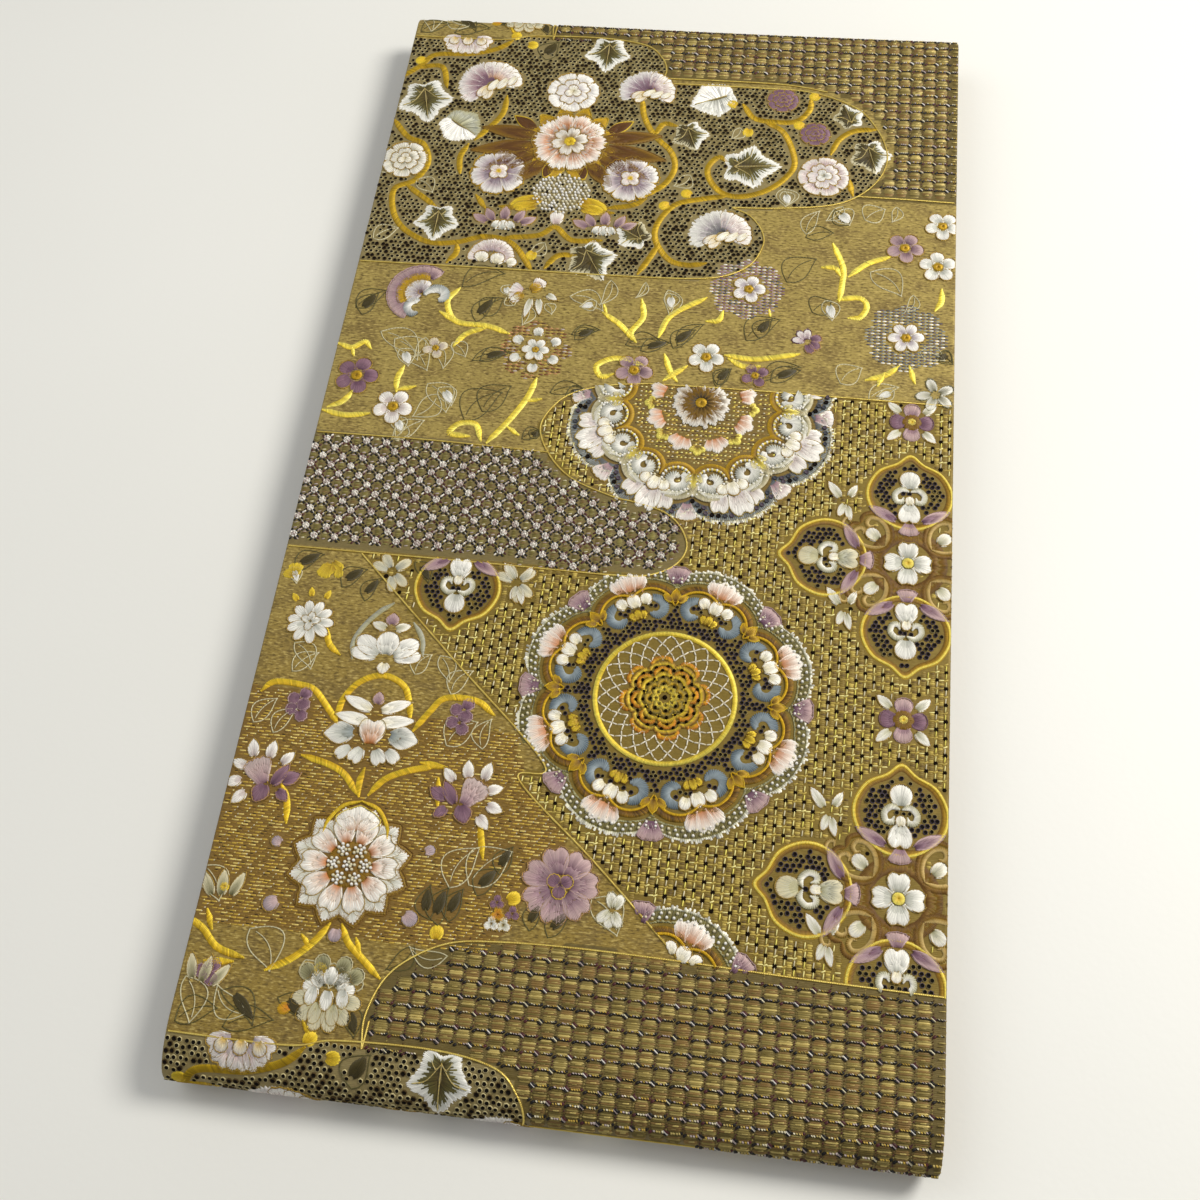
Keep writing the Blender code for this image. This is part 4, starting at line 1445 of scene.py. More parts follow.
PALE_FILLED = """
-122 60 -116 50 9, -98 38 -90 28 9, -118 18 -112 10 8, 10 106 12 96 8, 64 178 67 169 8, 90 108 94 96 9, 92
166 100 158 12, -76 104 -72 98 7, 126 56 118 52 7, -26 98 -34 94 7, -150 -68 -146 -76 6
"""


class OBI_OT_leaves(bpy.types.Operator):
    """Stitches the ivy leaves in the cloud and the outlined leaves of the band and the lotus field"""

    bl_idname = "obi.leaves"
    bl_label = "Leaves"

    def execute(self, context):
        needle = Needle(71)
        for row in IVY_LEAVES.split(","):
            *numbers_of_leaf, right, left = row.split()
            ivy_leaf(
                needle, *map(float, numbers_of_leaf), right, left,
                PLAIN_LOBES if left in ("grey", "pale") else IVY_LOBES
            )
        for leaves, words, filled in (
            (DARK_LEAVES, "moss olive", None), (DARK_FILLED, "olive moss", "moss moss"),
            (PALE_LEAVES, "sage sage cream", None), (PALE_FILLED, "sage cream", "ash white"),
        ):
            for a, b, c, d, width in numbers(leaves):
                outlined_leaf(needle, (a, b), (c, d), width, words, filled, 0.12 + 0.04 * (int(a) % 3))
        for u, v in ((104, -8), (104, -160), (105, -214), (-43, -66), (106, -64)):
            spot = needle.at(u, v)
            spot.petals("sage white", "-1 1 125 11 4.4, 1 -2 250 8 4, 3 2 62 8 3.6, 2 -3 285 9 3.6", "slim")
        for u, v in ((-102, -66), (-43, -66)):
            needle.at(u, v).burst("ash cream", (160, 120, 280, 320, 40), 2, 9, 5)
        for u, v, aim in ((-128, -66, 200), (-132, -64, 250), (-148, -74, 90)):
            needle.at(u, v).petals("bronze yellow", [(0, 0, aim, 9, 7), (1, 1, aim + 70, 7, 4)], "fan", edge=None)
        sew("leaves", needle)
        return {"FINISHED"}


# ---------------------------------------------------------------- flowers of the cloud
class OBI_OT_cloud_flowers(bpy.types.Operator):
    """Stitches the flowers among the knots, about a layered flower over a mound of white knots"""

    bl_idname = "obi.cloud_flowers"
    bl_label = "Cloud flowers"

    def execute(self, context):
        needle, knots = Needle(81), Needle(82)
        fan_peony(needle.at(-104, 245))
        fan_peony(needle.at(-15, 245, -28, 1, 0.88), "plum mauve lilac white", "mauve pink white white")
        fan_peony(needle.at(34, 146, -20, 1, 0.92), "slate lilac ash white", "lilac pink white white")
        ball_peony(needle.at(-57, 242, 0, 1, 1.0), 15)
        ball_peony(needle.at(85, 190, 20), 14, "lilac pink white", "ash white white")
        ball_peony(needle.at(60, 244, 0), 9, "plum plum mauve", "plum mauve")
        ball_peony(needle.at(79, 220, 0), 8.5, "plum plum mauve", "plum mauve")
        ball_peony(needle.at(-143, 186, 0), 13, "olive cream sage white", "cream white")
        cut = needle.at(-123, 276)
        cut.petals(
            "lilac pink white white", "-4 4 205 11 10, 4 4 335 11 10, -3 2 235 11 10, 3 2 305 11 10, 0 2 270 11 10",
            "heart"
        )
        cut.petals("gold cream white", "-7 4 250 6 6, 7 4 290 6 6, 0 4 270 6 6", lift=0.5)
        low = needle.at(-85, 122)
        low.burst("lilac pink white", (172, 144, 116, 88, 60, 32, 6), 4, 9, 8, "fan")
        low.petals("cream white white", "-5 -3 90 7 8, 3 -4 80 7.5 8, 9 -4 30 6 6", lift=0.5)
        for u in (-82, -28):
            side = needle.at(u, 146)
            side.petals("plum mauve pink", "~-9 0 150 10 5.5, ~-6 1 118 10 5.5, 0 2 90 10 6", "point")
            side.petals("ash white white", "-5 -4 60 6 5, 0 -5 90 7 5.5, 5 -4 120 6 5", lift=0.4)
        needle.at(-54, 147).petals("pink white white", "0 0 90 9 8", "heart")

        crown = needle.at(-54, 205)
        leaves = ((16, -6, -28, 34, 11), (17, -1, -10, 38, 10), (17, 5, 8, 34, 9), (12, -12, -48, 22, 9))
        for flip in (-1, 1):
            half = needle.at(-54, 203, 0, flip)
            half.petals("bronze brown brown bronze", leaves, "point", edge="brown bronze")
            half.petals("brown brown", "8 -14 -75 11 6, 20 10 35 16 7", "point", edge="gold yellow")
            round_flower = needle.at(-54 + 36 * flip, 181)
            round_flower.burst(
                "plum mauve lilac white white", range(20, 380, 60), 3, 13, 13, "fan", edge="bronze gold", ragged=0.1
            )
            round_flower.burst("pink white", range(50, 410, 90), 0, 6, 5.5, lift=0.5)
            round_flower.disc(2, "gold yellow", lift=0.8)
        crown.burst("brown bronze gold", range(15, 375, 30), 12, 15, 9.5, "point", edge="bronze yellow", step=0)
        crown.burst("brown orange white white", range(0, 360, 36), 7, 14.5, 11, "fan", lift=0.4, ragged=0.14)
        crown.burst("bronze white white", range(18, 378, 60), 2.5, 8, 7, "heart", lift=0.75)
        crown.disc(3.4, "gold yellow", lift=1.0, gilt=0.3)
        mound = needle.at(-54, 168)
        for flip in (-1, 1):
            needle.at(-54, 168, 0, flip).petals(
                "bronze gold yellow", "10 -4 -20 18 9, 12 -9 -8 13 7", lift=0.05, gilt=0.2
            )
        place = grid(2.3, 2.0, -16, -15, 16, 15, stagger=(2, 1.15))[2]
        place += knots.rng.uniform(-0.5, 0.5, place.shape)
        place = mound.at(place[length(place * (1, 1.15)) < 15.5])
        tint = tones(knots.rng, "white white cream", len(place))
        turned = polar(knots.rng.uniform(0, math.pi, len(place)), 0.95)
        # Each white knot is painted darker at its foot: painted shade.
        knots.add(place - turned, place + turned, tint * 0.6, tint, 1.6, 0.9, 0.3, 0.0)
        sew("cloud_flowers", needle)
        sew("white_knots", knots, bead_shape)
        return {"FINISHED"}


# ---------------------------------------------------------------- flowers of the band
class OBI_OT_band_flowers(bpy.types.Operator):
    """Stitches the small flowers of the plain band"""

    bl_idname = "obi.band_flowers"
    bl_label = "Band flowers"

    def execute(self, context):
        needle = Needle(91)
        spot = needle.at(-118, 96)
        spot.burst("plum mauve pink", (236, 214, 190, 166, 142, 118, 94, 70), 10, 8, 8.5, "fan", edge="mauve pink")
        spot.burst("bronze gold", (205, 175, 145, 115, 88), 5, 8, 6, "fan", lift=0.35)
        spot.burst("plum lilac white white", (215, 180, 145, 110, 75), 0, 9, 7, "fan", lift=0.5)
        spot.scroll(9, -2, 6.5, 170, -0.62, 6.0, "steel ash white", lift=0.6)
        spot.scroll(-1, -10, 5.5, 80, 0.6, 5.0, "white ash steel", lift=0.55)
        for row in (
            (-141, 42, 11.5, "plum mauve mauve", 5, 72), (-2, 57, 10, "plum mauve pink", 5, 60),
            (129, 145, 10, "plum mauve pink", 5, 62),
            (58, 59, 7.5, "plum mauve mauve", 4, 30), (-119, 25, 10.5, "blush white white", 5, 60),
            (33, 68, 9.5, "ash white white", 5, 60),
            (148, 161, 9.5, "ash white white", 5, 55), (146, 134, 10, "ash white white", 5, 95),
            (51, 112, 9, "lilac white white", 5, 72),
            (131, 88, 9.5, "lilac white white", 6, 65), (-104, 62, 7, "blush cream", 4, 110),
        ):
            flat_flower(needle, *row)
        cup = needle.at(-61, 100)
        cup.burst("pink lilac white", (200, 160, 60), 4, 7.5, 7.5, "fan")
        cup.petals("bronze gold", "0 2 40 7 6, -4 0 230 5 5", lift=0.3)
        cup.petals("sage white", "1 -3 262 13 3.6, 5 -3 280 11 3.6, -5 -2 215 6 3.6, 9 0 330 7 3.6", "slim", lift=0.2)
        tuft = needle.at(82, 82)
        tuft.burst("mauve pink white", (178, 130, 88), 1, 6.5, 4, edge="wine mauve")
        tuft.burst("plum mauve", (20, 330, 290), 2, 6, 5, edge="gold mauve")
        star = needle.at(-53, 65)
        star.burst("ash white white", range(0, 360, 60), 1.5, 6, 4.8)
        star.disc(1.8, "bronze gold", lift=0.5)
        star.burst("ash white", range(30, 390, 60), 8.6, 5.8, 5.8)
        cut = needle.at(146, 55)
        cut.burst("olive sage white", (30, 110, 190, 250, 320), 2, 8, 5, edge="moss sage")
        dashed_disc(needle, -53, 65, 18.5, "rust rust brown", "brass blush peach")
        dashed_disc(needle, 50, 112, 19.5, "plum mauve slate", "snow blush lilac")
        dashed_disc(needle, 131, 88, 21, "slate slate dusk", "ash steel white")
        sew("band_flowers", needle)
        return {"FINISHED"}


# ---------------------------------------------------------------- the lotus field
class OBI_OT_lotus_field(bpy.types.Operator):
    """Stitches the lotuses and the other flowers of the field at the front left"""

    bl_idname = "obi.lotus_field"
    bl_label = "Lotus field"

    def execute(self, context):
        needle, seeds = Needle(101), Needle(102)
        top = needle.at(-97, -109)
        top.petals("ash white white", "~4 0 8 13 7, ~3 1 35 14 9, 0 1 90 12 11", "round")
        top.petals("cream white", "0 -3 270 6 6", "point", lift=0.3)
        top.petals("mauve pink", "0 16 90 6.5 7", "point")
        top.petals("sage cream white", "~2 14 18 8 4.4", "slim")

        middle = needle.at(-96, -141)
        middle.petals("steel ash white", "~8 -5 -8 14 11", "point")
        middle.petals("cream white white", "~2 0 10 17 6, ~2 6 22 15 5.5", "slim", lift=0.2)
        middle.petals("orange peach white white", "0 -10 90 12 12", "heart", lift=0.5)
        middle.petals("ash white", "~3 -12 -62 8 7, ~8 -12 -40 8 6", "heart", lift=0.3)
        middle.petals("mauve pink", "0 9 90 6.5 5.5", "point", lift=0.3)

        big = needle.at(-94, -205)
        big.burst(
            "brown bronze bronze", range(15, 375, 30), 15, 12.6, 12.5, "point", edge="brown bronze", lift=0.0, step=0
        )
        big.burst("sage ash blush white", range(15, 375, 30), 15, 11.5, 10, "point", step=0, lift=0.15)
        big.burst("olive sage cream white", range(0, 360, 30), 13, 10, 9.5, "heart", step=0, lift=0.2)
        big.burst("orange peach white white white", range(0, 360, 36), 9.5, 11.5, 9.5, "heart", step=0.02, lift=0.45)
        big.disc(10.2, "brown bronze bronze", lift=0.2)
        big.petals("peach white white", "0 14 90 12 20", "point", lift=0.6, edge="gold lemon")
        big.petals("pink lilac", "31 9 20 5 5, -31 6 160 5 5, 27 -18 -30 7 7, -27 -18 210 7 7, 0 -27 270 6 6")
        for flip in (-1, 1):
            needle.at(-94, -205, 0, flip).ribbon(
                "0 28, 8 25, 13 18, 14 13", 1.8, "gold lemon yellow", lift=0.7, gilt=0.2
            )
        clumps = [(7.0 * math.cos(a), 7.0 * math.sin(a)) for a in np.radians(range(0, 360, 60))] + [(0, 0)]
        for x, y in clumps:
            ring = polar(np.arange(7) * math.tau / 7 + x, seeds.rng.uniform(2.1, 2.6, 7))
            place = big.at(np.vstack([ring, ring[::2] * 0.4]) + (x, y))
            tint = tones(seeds.rng, "white white cream", len(place))
            # Each seed is painted darker at its foot: painted shade.
            seeds.add(place - (0.85, 0), place + (0.85, 0), tint * 0.5, tint, 1.7, 1.0, 0.55, 0.0)

        for u, v, flip in ((-137, -168, 1), (-52, -168, -1)):
            side = needle.at(u, v, 0, flip)
            side.petals(
                "blush white white", "-2 6 84 9 5.5, -9 6 104 9 5.5, -11 1 160 8 5, -12 -5 196 8 5.5, "
                "-9 -10 228 8 5.5, 4 4 50 8 5", "point"
            )
            side.petals("mauve pink blush", "-2 -6 118 13 12", "fan", lift=0.3, edge="gold mauve")
            side.petals(
                "plum mauve mauve", "2 -6 60 12 5.5, 6 -4 30 9 6.5, -1 -6 250 9 8, 5 -8 320 7 5", "point", lift=0.4,
                edge="gold mauve"
            )

        spray = needle.at(-135, -95)
        spray.burst("ash white white", (175, 140, 105, 70, 35, 0, 325, 205, 240, 280), 2.5, 9, 5)
        spray.burst("ash white", (155, 85, 15, 260), 0, 5, 3.6, lift=0.4)
        spray.burst("gold yellow", (130, 100, 70), 13, 5, 2.6, "slim", edge=None)

        purple = needle.at(-4, -204)
        purple.burst(
            "plum mauve pink pink", (215, 265, 315, 5, 55, 105, 160), 4, 12.5, 11.5, "heart", edge="gold mauve"
        )
        purple.burst("plum mauve", (30, 150, 270), 0, 6, 6, lift=0.5, edge="gold yellow")
        needle.at(19, -212).burst("sage white", (100, 60, 260, 220, 300), 1, 7, 4.5, edge="olive cream")

        pale = needle.at(-92, -259)
        pale.burst("ash white white", (160, 128, 52, 20, 90), 4, 8, 6.5)
        pale.burst("sage ash cream", (190, 225, 255, 285, 315, 350), 6, 9, 6.5)
        pale.burst("moss olive sage", (140, 110, 70, 40), 9, 8, 6.5, edge="sage cream")
        pale.petals("moss olive", "-3 3 100 9 7, 4 3 80 9 7", edge="olive cream")
        pale.petals("ash white white", "-6 3 262 8 5.5, 0 2 270 8.5 5.5, 6 3 278 8 5.5", lift=0.4)
        pale.petals("sage ash cream", "-3 -3 262 9 5.5, 3 -3 278 9 5.5", lift=0.3)
        pale.petals("orange gold", "-14 -6 200 6 5", edge=None)
        for u, v, aim in ((-146, -218, 95), (-144, -254, 80)):
            bud = needle.at(u, v, aim - 90)
            bud.petals("olive sage cream", "~-4 -6 115 12 4.5, 0 -6 90 12 5", "slim")
        needle.at(-145, -220).disc(2.2, "gold yellow", lift=0.4)
        for u, v in ((-143, -255), (-131, -133), (-131, -138), (-57, -131), (-58, -137)):
            needle.at(u, v).burst("plum mauve", (60, 180, 300), 0.5, 5.5, 5.5, edge="mauve pink")
        for u, v, words in (
            (-29, -214, "plum mauve"), (-22, -218, "plum mauve"), (-28, -219, "orange gold"), (-30, -223, "ash white"),
            (-25, -223, "sage white")
        ):
            needle.at(u, v).burst(words, (90, 210, 330), 0, 3.6, 3.6)
        sew("lotus_field", needle)
        sew("lotus_seeds", seeds, bead_shape)
        return {"FINISHED"}


# ---------------------------------------------------------------- medallions
def dots(needle, place, size, words="white white cream", dark=0.55):
    """Small thread pearls at the given places, each painted darker at its foot, by the share dark, as shade under its
    lit top.
    """
    tint, half = tones(needle.rng, words, len(place)), (size / 2, 0)
    needle.add(place - half, place + half, tint * dark, tint, size, 0.9, 0.45, 0.0)


def scalloped_band(needle, centre, inner, outer, words, pitch=0.8, start=22.5, ragged=0.0, **how):
    """Satin all round between two scalloped rims, the outer one perhaps ragged."""
    count = int(2 * math.pi * inner[1] / pitch)
    low, high = (
        evenly(ring_points(centre, scallop(*edge, start), 0, 360, 480), count=count) for edge in (inner, outer)
    )
    high = high + (high - low) * needle.rng.uniform(-ragged, ragged, (count, 1))
    needle.lay(low, high, dyes(words), width=pitch * 1.35, **how)


class OBI_OT_medallion(bpy.types.Operator):
    """Stitches the round medallion: crocheted middle, white net, lemon ring, scrolls and scalloped rim"""

    bl_idname = "obi.medallion"
    bl_label = "Medallion"

    def execute(self, context):
        needle, pearls = Needle(111, within=mesh_field), Needle(112, within=mesh_field)
        dark = Needle(113, marks=False, within=mesh_field)
        for centre in MEDALLIONS[1:]:
            scalloped_band(
                needle, centre, (53.6, 60.6), (57.4, 66.4), "olive loop_dim olive", lift=0.0, rise=0.3, vary=0.2
            )
            scalloped_band(
                needle, centre, (56.4, 65.4), (57.8, 67.2), "sage white", 0.85, ragged=0.6, lift=0.2, rise=0.6,
                vary=0.3
            )
            scalloped_band(
                needle, centre, (53.2, 59.6), (53.9, 60.4), "olive sage", 1.0, ragged=0.6, lift=0.25, rise=0.4,
                vary=0.3
            )
            for k in range(8):
                angle = 22.5 + 45 * k
                unit, valley = needle.at(*centre, angle - 90), needle.at(*centre, angle - 67.5)
                for r, pitch in (((54.8, 62.0), 2.9), ((56.0, 64.2), 3.3)):
                    dots(pearls, evenly(ring_points(centre, scallop(*r), angle - 20.5, angle + 20.5), pitch), 1.5)
                unit.petals(
                    "orange peach white white white", "~-3.6 53.5 108 9 7, 0 53.5 90 10.6 8", "heart", neck=0.6,
                    edge=None, lift=0.3
                )
                arch = [
                    (-18.3, 43.5), (-17.3, 49), (-13.5, 53.2), (-8, 55.2), (-3, 54.4), (0, 52.8), (3, 54.4), (8, 55.2),
                    (13.5, 53.2), (17.3, 49), (18.3, 43.5)
                ]
                unit.ribbon(arch, 3.2, "bronze brown", lift=0.4, vary=0.25)
                unit.ribbon([(x * 0.93, y - 1.4) for x, y in arch], 1.3, "gold lemon gold", lift=0.7, gilt=0.3)
                for flip in (-1, 1):
                    half = needle.at(*centre, angle - 90, flip)
                    half.scroll(8.4, 43.6, 5.0, 105, -0.68, 5.0, "storm mist", ratio=0.3)
                unit.petals("cream white white", "~4.4 46.6 60 6 5.6, 0 45.6 90 7.6 6.6", lift=0.5)
                unit.petals(
                    "bronze yellow", "~1.2 40 50 4.4 3.4, 0 39.5 90 5.4 3.6", lift=0.5, gilt=0.3, edge="brown bronze"
                )
                valley.petals("plum mauve pink", "0 56.2 90 9 11", "fan", lift=0.4, edge="mauve pink")
                valley.petals(
                    "brown bronze gold", "0 47 90 6.5 4.4, ~1.5 47 40 5.4 3.2", "point", lift=0.75, edge="gold yellow"
                )
            rails = [ring_points(centre, r, 0, 360, 160) for r in (29.6, 32.2)]
            satin(needle, *rails, dyes("yellow lemon lemon"), 0.62, lift=0.25, rise=0.8, gilt=0.2)
            for k in range(22):
                for inner, outer, shift in ((18, 22, 0.0), (22, 26, 0.5), (26, 30, 0.0)):
                    for way in (-0.5, 0.5):
                        a, b = math.radians(360 / 22 * (k + shift)), math.radians(360 / 22 * (k + shift + way))
                        ends = [
                            centre + polar(a, inner), centre + polar((a + b) / 2, (inner + outer) / 2 + 0.5),
                            centre + polar(b, outer)
                        ]
                        needle.lay(ends[:2], ends[1:], dyes("snow cream"), 0.62, 0.5, 0.3)
            for k in range(8):
                spot = needle.at(*centre, 45 * k - 80)
                for reach, wide, words in (
                    (19.2, 4.4, "orange gold"), (16.6, 5.6, "rust yellow"), (14.0, 3.4, "orange gold"),
                    (11.4, 4.0, "bronze yellow"),
                    (8.6, 2.6, "olive gold"), (5.6, 1.9, "olive yellow"),
                ):
                    loop = [
                        (-wide, reach - 3.4), (-wide * 0.8, reach - 1.1), (0, reach), (wide * 0.8, reach - 1.1),
                        (wide, reach - 3.4)
                    ]
                    spot.ribbon(loop, 2.1, words, lift=0.35, taper=1.5, vary=0.2)
                # The holes of the crochet and the middle are dark pearls of painted shade.
                holes = spot.at("0 6.3 0 9.6 -3.9 8.8 0 12.9 -5.2 12.4 -2.6 14.6 2.6 14.6")
                dots(dark, holes, 1.7, "hole")
            dots(dark, np.array([centre]), 2.4, "hole")
        sew("medallion", needle)
        sew("medallion_pearls", pearls, bead_shape)
        sew("medallion_eyelets", dark, bead_shape, dark_hole())
        return {"FINISHED"}


class OBI_OT_half_medallion(bpy.types.Operator):
    """Stitches the half medallion: brown-hearted flower, pearled spirals, shells and ruffled rim"""

    bl_idname = "obi.half_medallion"
    bl_label = "Shell medallion"

    def execute(self, context):
        needle, pearls = Needle(121, within=shell_field), Needle(122, within=shell_field)
        line, ground = Needle(123, within=shell_field), Needle(124, marks=False, within=shell_field)
        centre = MEDALLIONS[0]
        scalloped_band(
            ground, centre, (51.0, 58.0), (56.6, 66.2), "slate steel", start=-22.5, lift=0.0, rise=0.4, vary=0.2
        )
        scalloped_band(
            ground, centre, (56.2, 65.8), (57.6, 67.6), "sage white", 0.85, start=-22.5, ragged=0.6, lift=0.2,
            rise=0.6, vary=0.3
        )
        for k in range(8):
            angle = -22.5 - 45 * k
            unit, valley = needle.at(*centre, angle - 90), needle.at(*centre, angle - 67.5)
            unit.petals(
                "lilac blush white white", "-6 49 112 12 9, 6 49 68 12 9, -1 48 92 16.4 12", "heart", lift=0.3,
                edge="olive brass"
            )
            unit.petals("mauve pink white", "-19 51.5 115 10 10", "fan", lift=0.05)
            for flip in (-1, 1):
                half = needle.at(*centre, angle - 90, flip)
                half.ribbon("18.6 38.5, 18.4 45, 14.6 50.2, 8 53", 3.4, "olive sage cream", lift=0.75, slant=0.3)
                half.ribbon("15.6 46.5, 12 50, 6 51.2, 1.5 50", 3.4, "sage cream white", lift=0.85, slant=0.3)
                half.scroll(8.6, 42.8, 5.2, 290, 0.95, 5.6, "white ash", ratio=0.62, lift=0.75, taper=2.0)
                half.ribbon(
                    "0 43.5, 1 38.4, 4.4 35, 8.8 33.8, 13.4 35.2, 16.8 39.2, 17.8 44.6", 3.2, "brown bronze gold",
                    lift=0.3
                )
                half.ribbon(
                    "1.6 42, 2.6 39, 5.4 36.6, 8.8 35.6, 12.4 36.8, 15.2 40, 16.2 44", 1.2, "gold lemon", lift=0.6,
                    gilt=0.3
                )
                dots(pearls, half.at(polar(np.radians(np.arange(-110, 240, 17)), 7.0) + (8.6, 42.8)), 1.7)
                dots(pearls, half.at("15.8 45 14.4 47.6 3.4 45.6 17.4 47.4"), 1.6)
            unit.petals("cream white white", "~3.4 46 60 6 6, 0 45.4 90 8 6.6", lift=0.95)
            valley.petals("brown gold lemon", "0 38.5 90 10.5 3.6, ~1 39.5 55 6 3", "slim", lift=0.65, gilt=0.3)
            dots(pearls, valley.at("-3 49 3 49 0 51"), 1.6)
            unit.petals(
                "orange peach pink white", "~-2.4 19.5 110 7 4.6, 0 19.5 90 9 5", "fan", lift=0.3, ragged=0.12,
                edge=None
            )
            valley.petals("bronze lemon", "0 24 90 4.5 4, ~-1 24 150 3.5 2.6", lift=0.3, edge=None, gilt=0.3)
        for r, pitch in (((55.0, 63.4), 3.1), ((52.6, 60.4), 3.3)):
            knots = evenly(ring_points(centre, scallop(*r, -22.5), 0, 360, 480), pitch)
            dots(line, knots[hoop.free(knots)], 2.4, "slate dusk dark", 0.8)
        flower = needle.at(33, 40)
        flower.burst(
            "umber brown brown brown bronze white white", range(22, 382, 45), 2, 13, 10.5, "heart", edge=None,
            ragged=0.16, lift=0.4, longest=3.2
        )
        flower.burst("dark brown bronze", range(0, 360, 24), 2.5, 7, 2.6, "slim", edge=None, lift=0.8)
        flower.disc(3.2, "bronze yellow gold", lift=0.95, gilt=0.3)
        _, rows, place = grid(2.1, 1.3, -12, -10, 78, 49)
        keep = length(place - centre) < 52
        place, rows = place[keep], rows[keep]
        keep = hoop.free(place)
        place, rows = place[keep], rows[keep]
        place[:, 0] += rows % 2 * 1.05
        stroke(ground, place, (0, 0), (1.1, 0.1), "line_gold line_dim hatch line_dark", 0.8, 0.4, 0.0)
        stroke(ground, place[rows % 2 == 0], (0.4, 0.3), (0.6, 0.1), "net_gold cream lemon", 0.6, 0.6, 0.2, 0.2)
        sew("shell_medallion", needle)
        sew("shell_pearls", pearls, bead_shape)
        sew("shell_knots", line, knot_shape, knot_thread())
        sew("shell_ground", ground)
        return {"FINISHED"}


# ---------------------------------------------------------------- rosettes
DROP = smooth(
    pts("0 -17 -8 -15 -15.5 -8 -17.5 1 -13.2 10 -5.5 14.4 0 18.6 5.5 14.4 13.2 10 17.5 1 15.5 -8 8 -15"), 1.0,
    closed=True
)
drops = []


def make_drop(needle, u, v, turn, top="ash white white", low="ash white white", wings="plum mauve pink"):
    """A drop outlined in gold, holding a shell of petals on a ground of knots."""
    spot = needle.at(u, v, turn)
    drops.append(spot.at(DROP))
    for inner, outer, words, lift in ((0.95, 1.19, "brown bronze gold gold", 0.05), (1.07, 1.15, "gold lemon", 0.45)):
        satin(needle, spot.at(DROP * inner), spot.at(DROP * outer), dyes(words), 0.66, lift=lift)
    spot.petals(wings, "~6 -15 28 14 5", "slim", lift=0.3, edge="mauve pink")
    spot.petals(top, "0 2.5 90 10 10", lift=0.4)
    for flip in (-1, 1):
        needle.at(u, v, turn, flip).ribbon(
            "0.8 1.2, 4 2, 6.8 -0.6, 6.2 -4.2, 3.4 -4.6, 2.8 -2.6", 3.0, "sage cream white", lift=0.6, taper=2.5
        )
    spot.petals(low, "0 -5.5 270 10.5 10.5", "heart", lift=0.4)
    spot.petals("cream white", "0 -6.5 90 5 4.6", lift=0.85)
    spot.petals("mauve pink pink", "0 -16 270 6.5 9", "fan", lift=0.4, edge="mauve pink")


HEART_BACK = ((0, -10.5), (-5, -8.5), (-9, -3.5), (-10.3, 2), (-8.5, 7), (-4, 9.3), (0, 7.2))
HEART_SCROLL = ((-0.5, -9), (-4.6, -6.4), (-7.4, -2), (-7.6, 3), (-5.2, 6.2), (-2.2, 5.6), (-1.4, 3.2), (-3.0, 2.2))
SCROLL_TAIL = ((-6.4, 6), (-7.8, 9.2), (-6.8, 12.4), (-4, 13.6), (-2.2, 12), (-3.6, 10.6))


class OBI_OT_rosettes(bpy.types.Operator):
    """Stitches the white flowers of the mesh field, between scrolled hearts and drops"""

    bl_idname = "obi.rosettes"
    bl_label = "Rosettes"

    def execute(self, context):
        needle = Needle(131, within=lambda p: mesh_field(p) & (p[:, 1] < 49.0))
        for v in (-39, -194.5):
            rails = [ring_points((135, v), r, 0, 360, 120) for r in (10.5, 18.5)]
            satin(needle, *rails, dyes("brown bronze brown"), 0.7, lift=0.0, rise=0.4)
            flower = needle.at(135, v)
            flower.burst("ash white white", (0, 90, 180, 270), 2.4, 8.8, 9.5, "heart", neck=0.6, lift=0.35)
            flower.disc(2.8, "gold lemon", lift=0.8)
            for du, dv, turn in ((-17, 14.5, 45), (17, 14.5, -45), (-17, -15, 135), (17, -15, -135)):
                for side in (-1, 1):
                    half = needle.at(135 + du, v + dv, turn, side)
                    half.ribbon(HEART_BACK, 2.6, "brown edge bronze", taper=2.0, lift=0.05)
                    half.ribbon(HEART_SCROLL, 2.3, "bronze brass scroll", taper=3.0, lift=0.3)
                tail = needle.at(135 + du, v + dv, turn, 1 if du * dv < 0 else -1)
                tail.ribbon(SCROLL_TAIL, 1.8, "bronze brass scroll", taper=3.0, lift=0.25)
                half.petals("sage cream white", "0 -4.5 90 7.5 6.4", lift=0.4)
            make_drop(needle, 135, v + 37, 0)
            make_drop(needle, 135, v - 36, 180)
            make_drop(needle, 97, v, 90, "sage ash cream", "sage ash cream")
        make_drop(needle, -70, -72, 180)
        for v in (38, -116):
            spot = needle.at(135, v)
            spot.burst("plum mauve", (0, 180), 3.5, 7, 8, neck=0.7, edge="mauve plum")
            spot.burst("mauve pink pink", (90, 270), 3.5, 7, 8, neck=0.7, edge="mauve pink")
            spot.burst("sage white", (43, 137, 223, 317), 7.5, 9, 4.6, "point")
            spot.burst("brown bronze", range(0, 360, 60), 0, 5, 5, lift=0.3, edge=None)
            spot.disc(2.2, "gold lemon", lift=0.7)
        sew("rosettes", needle)
        return {"FINISHED"}


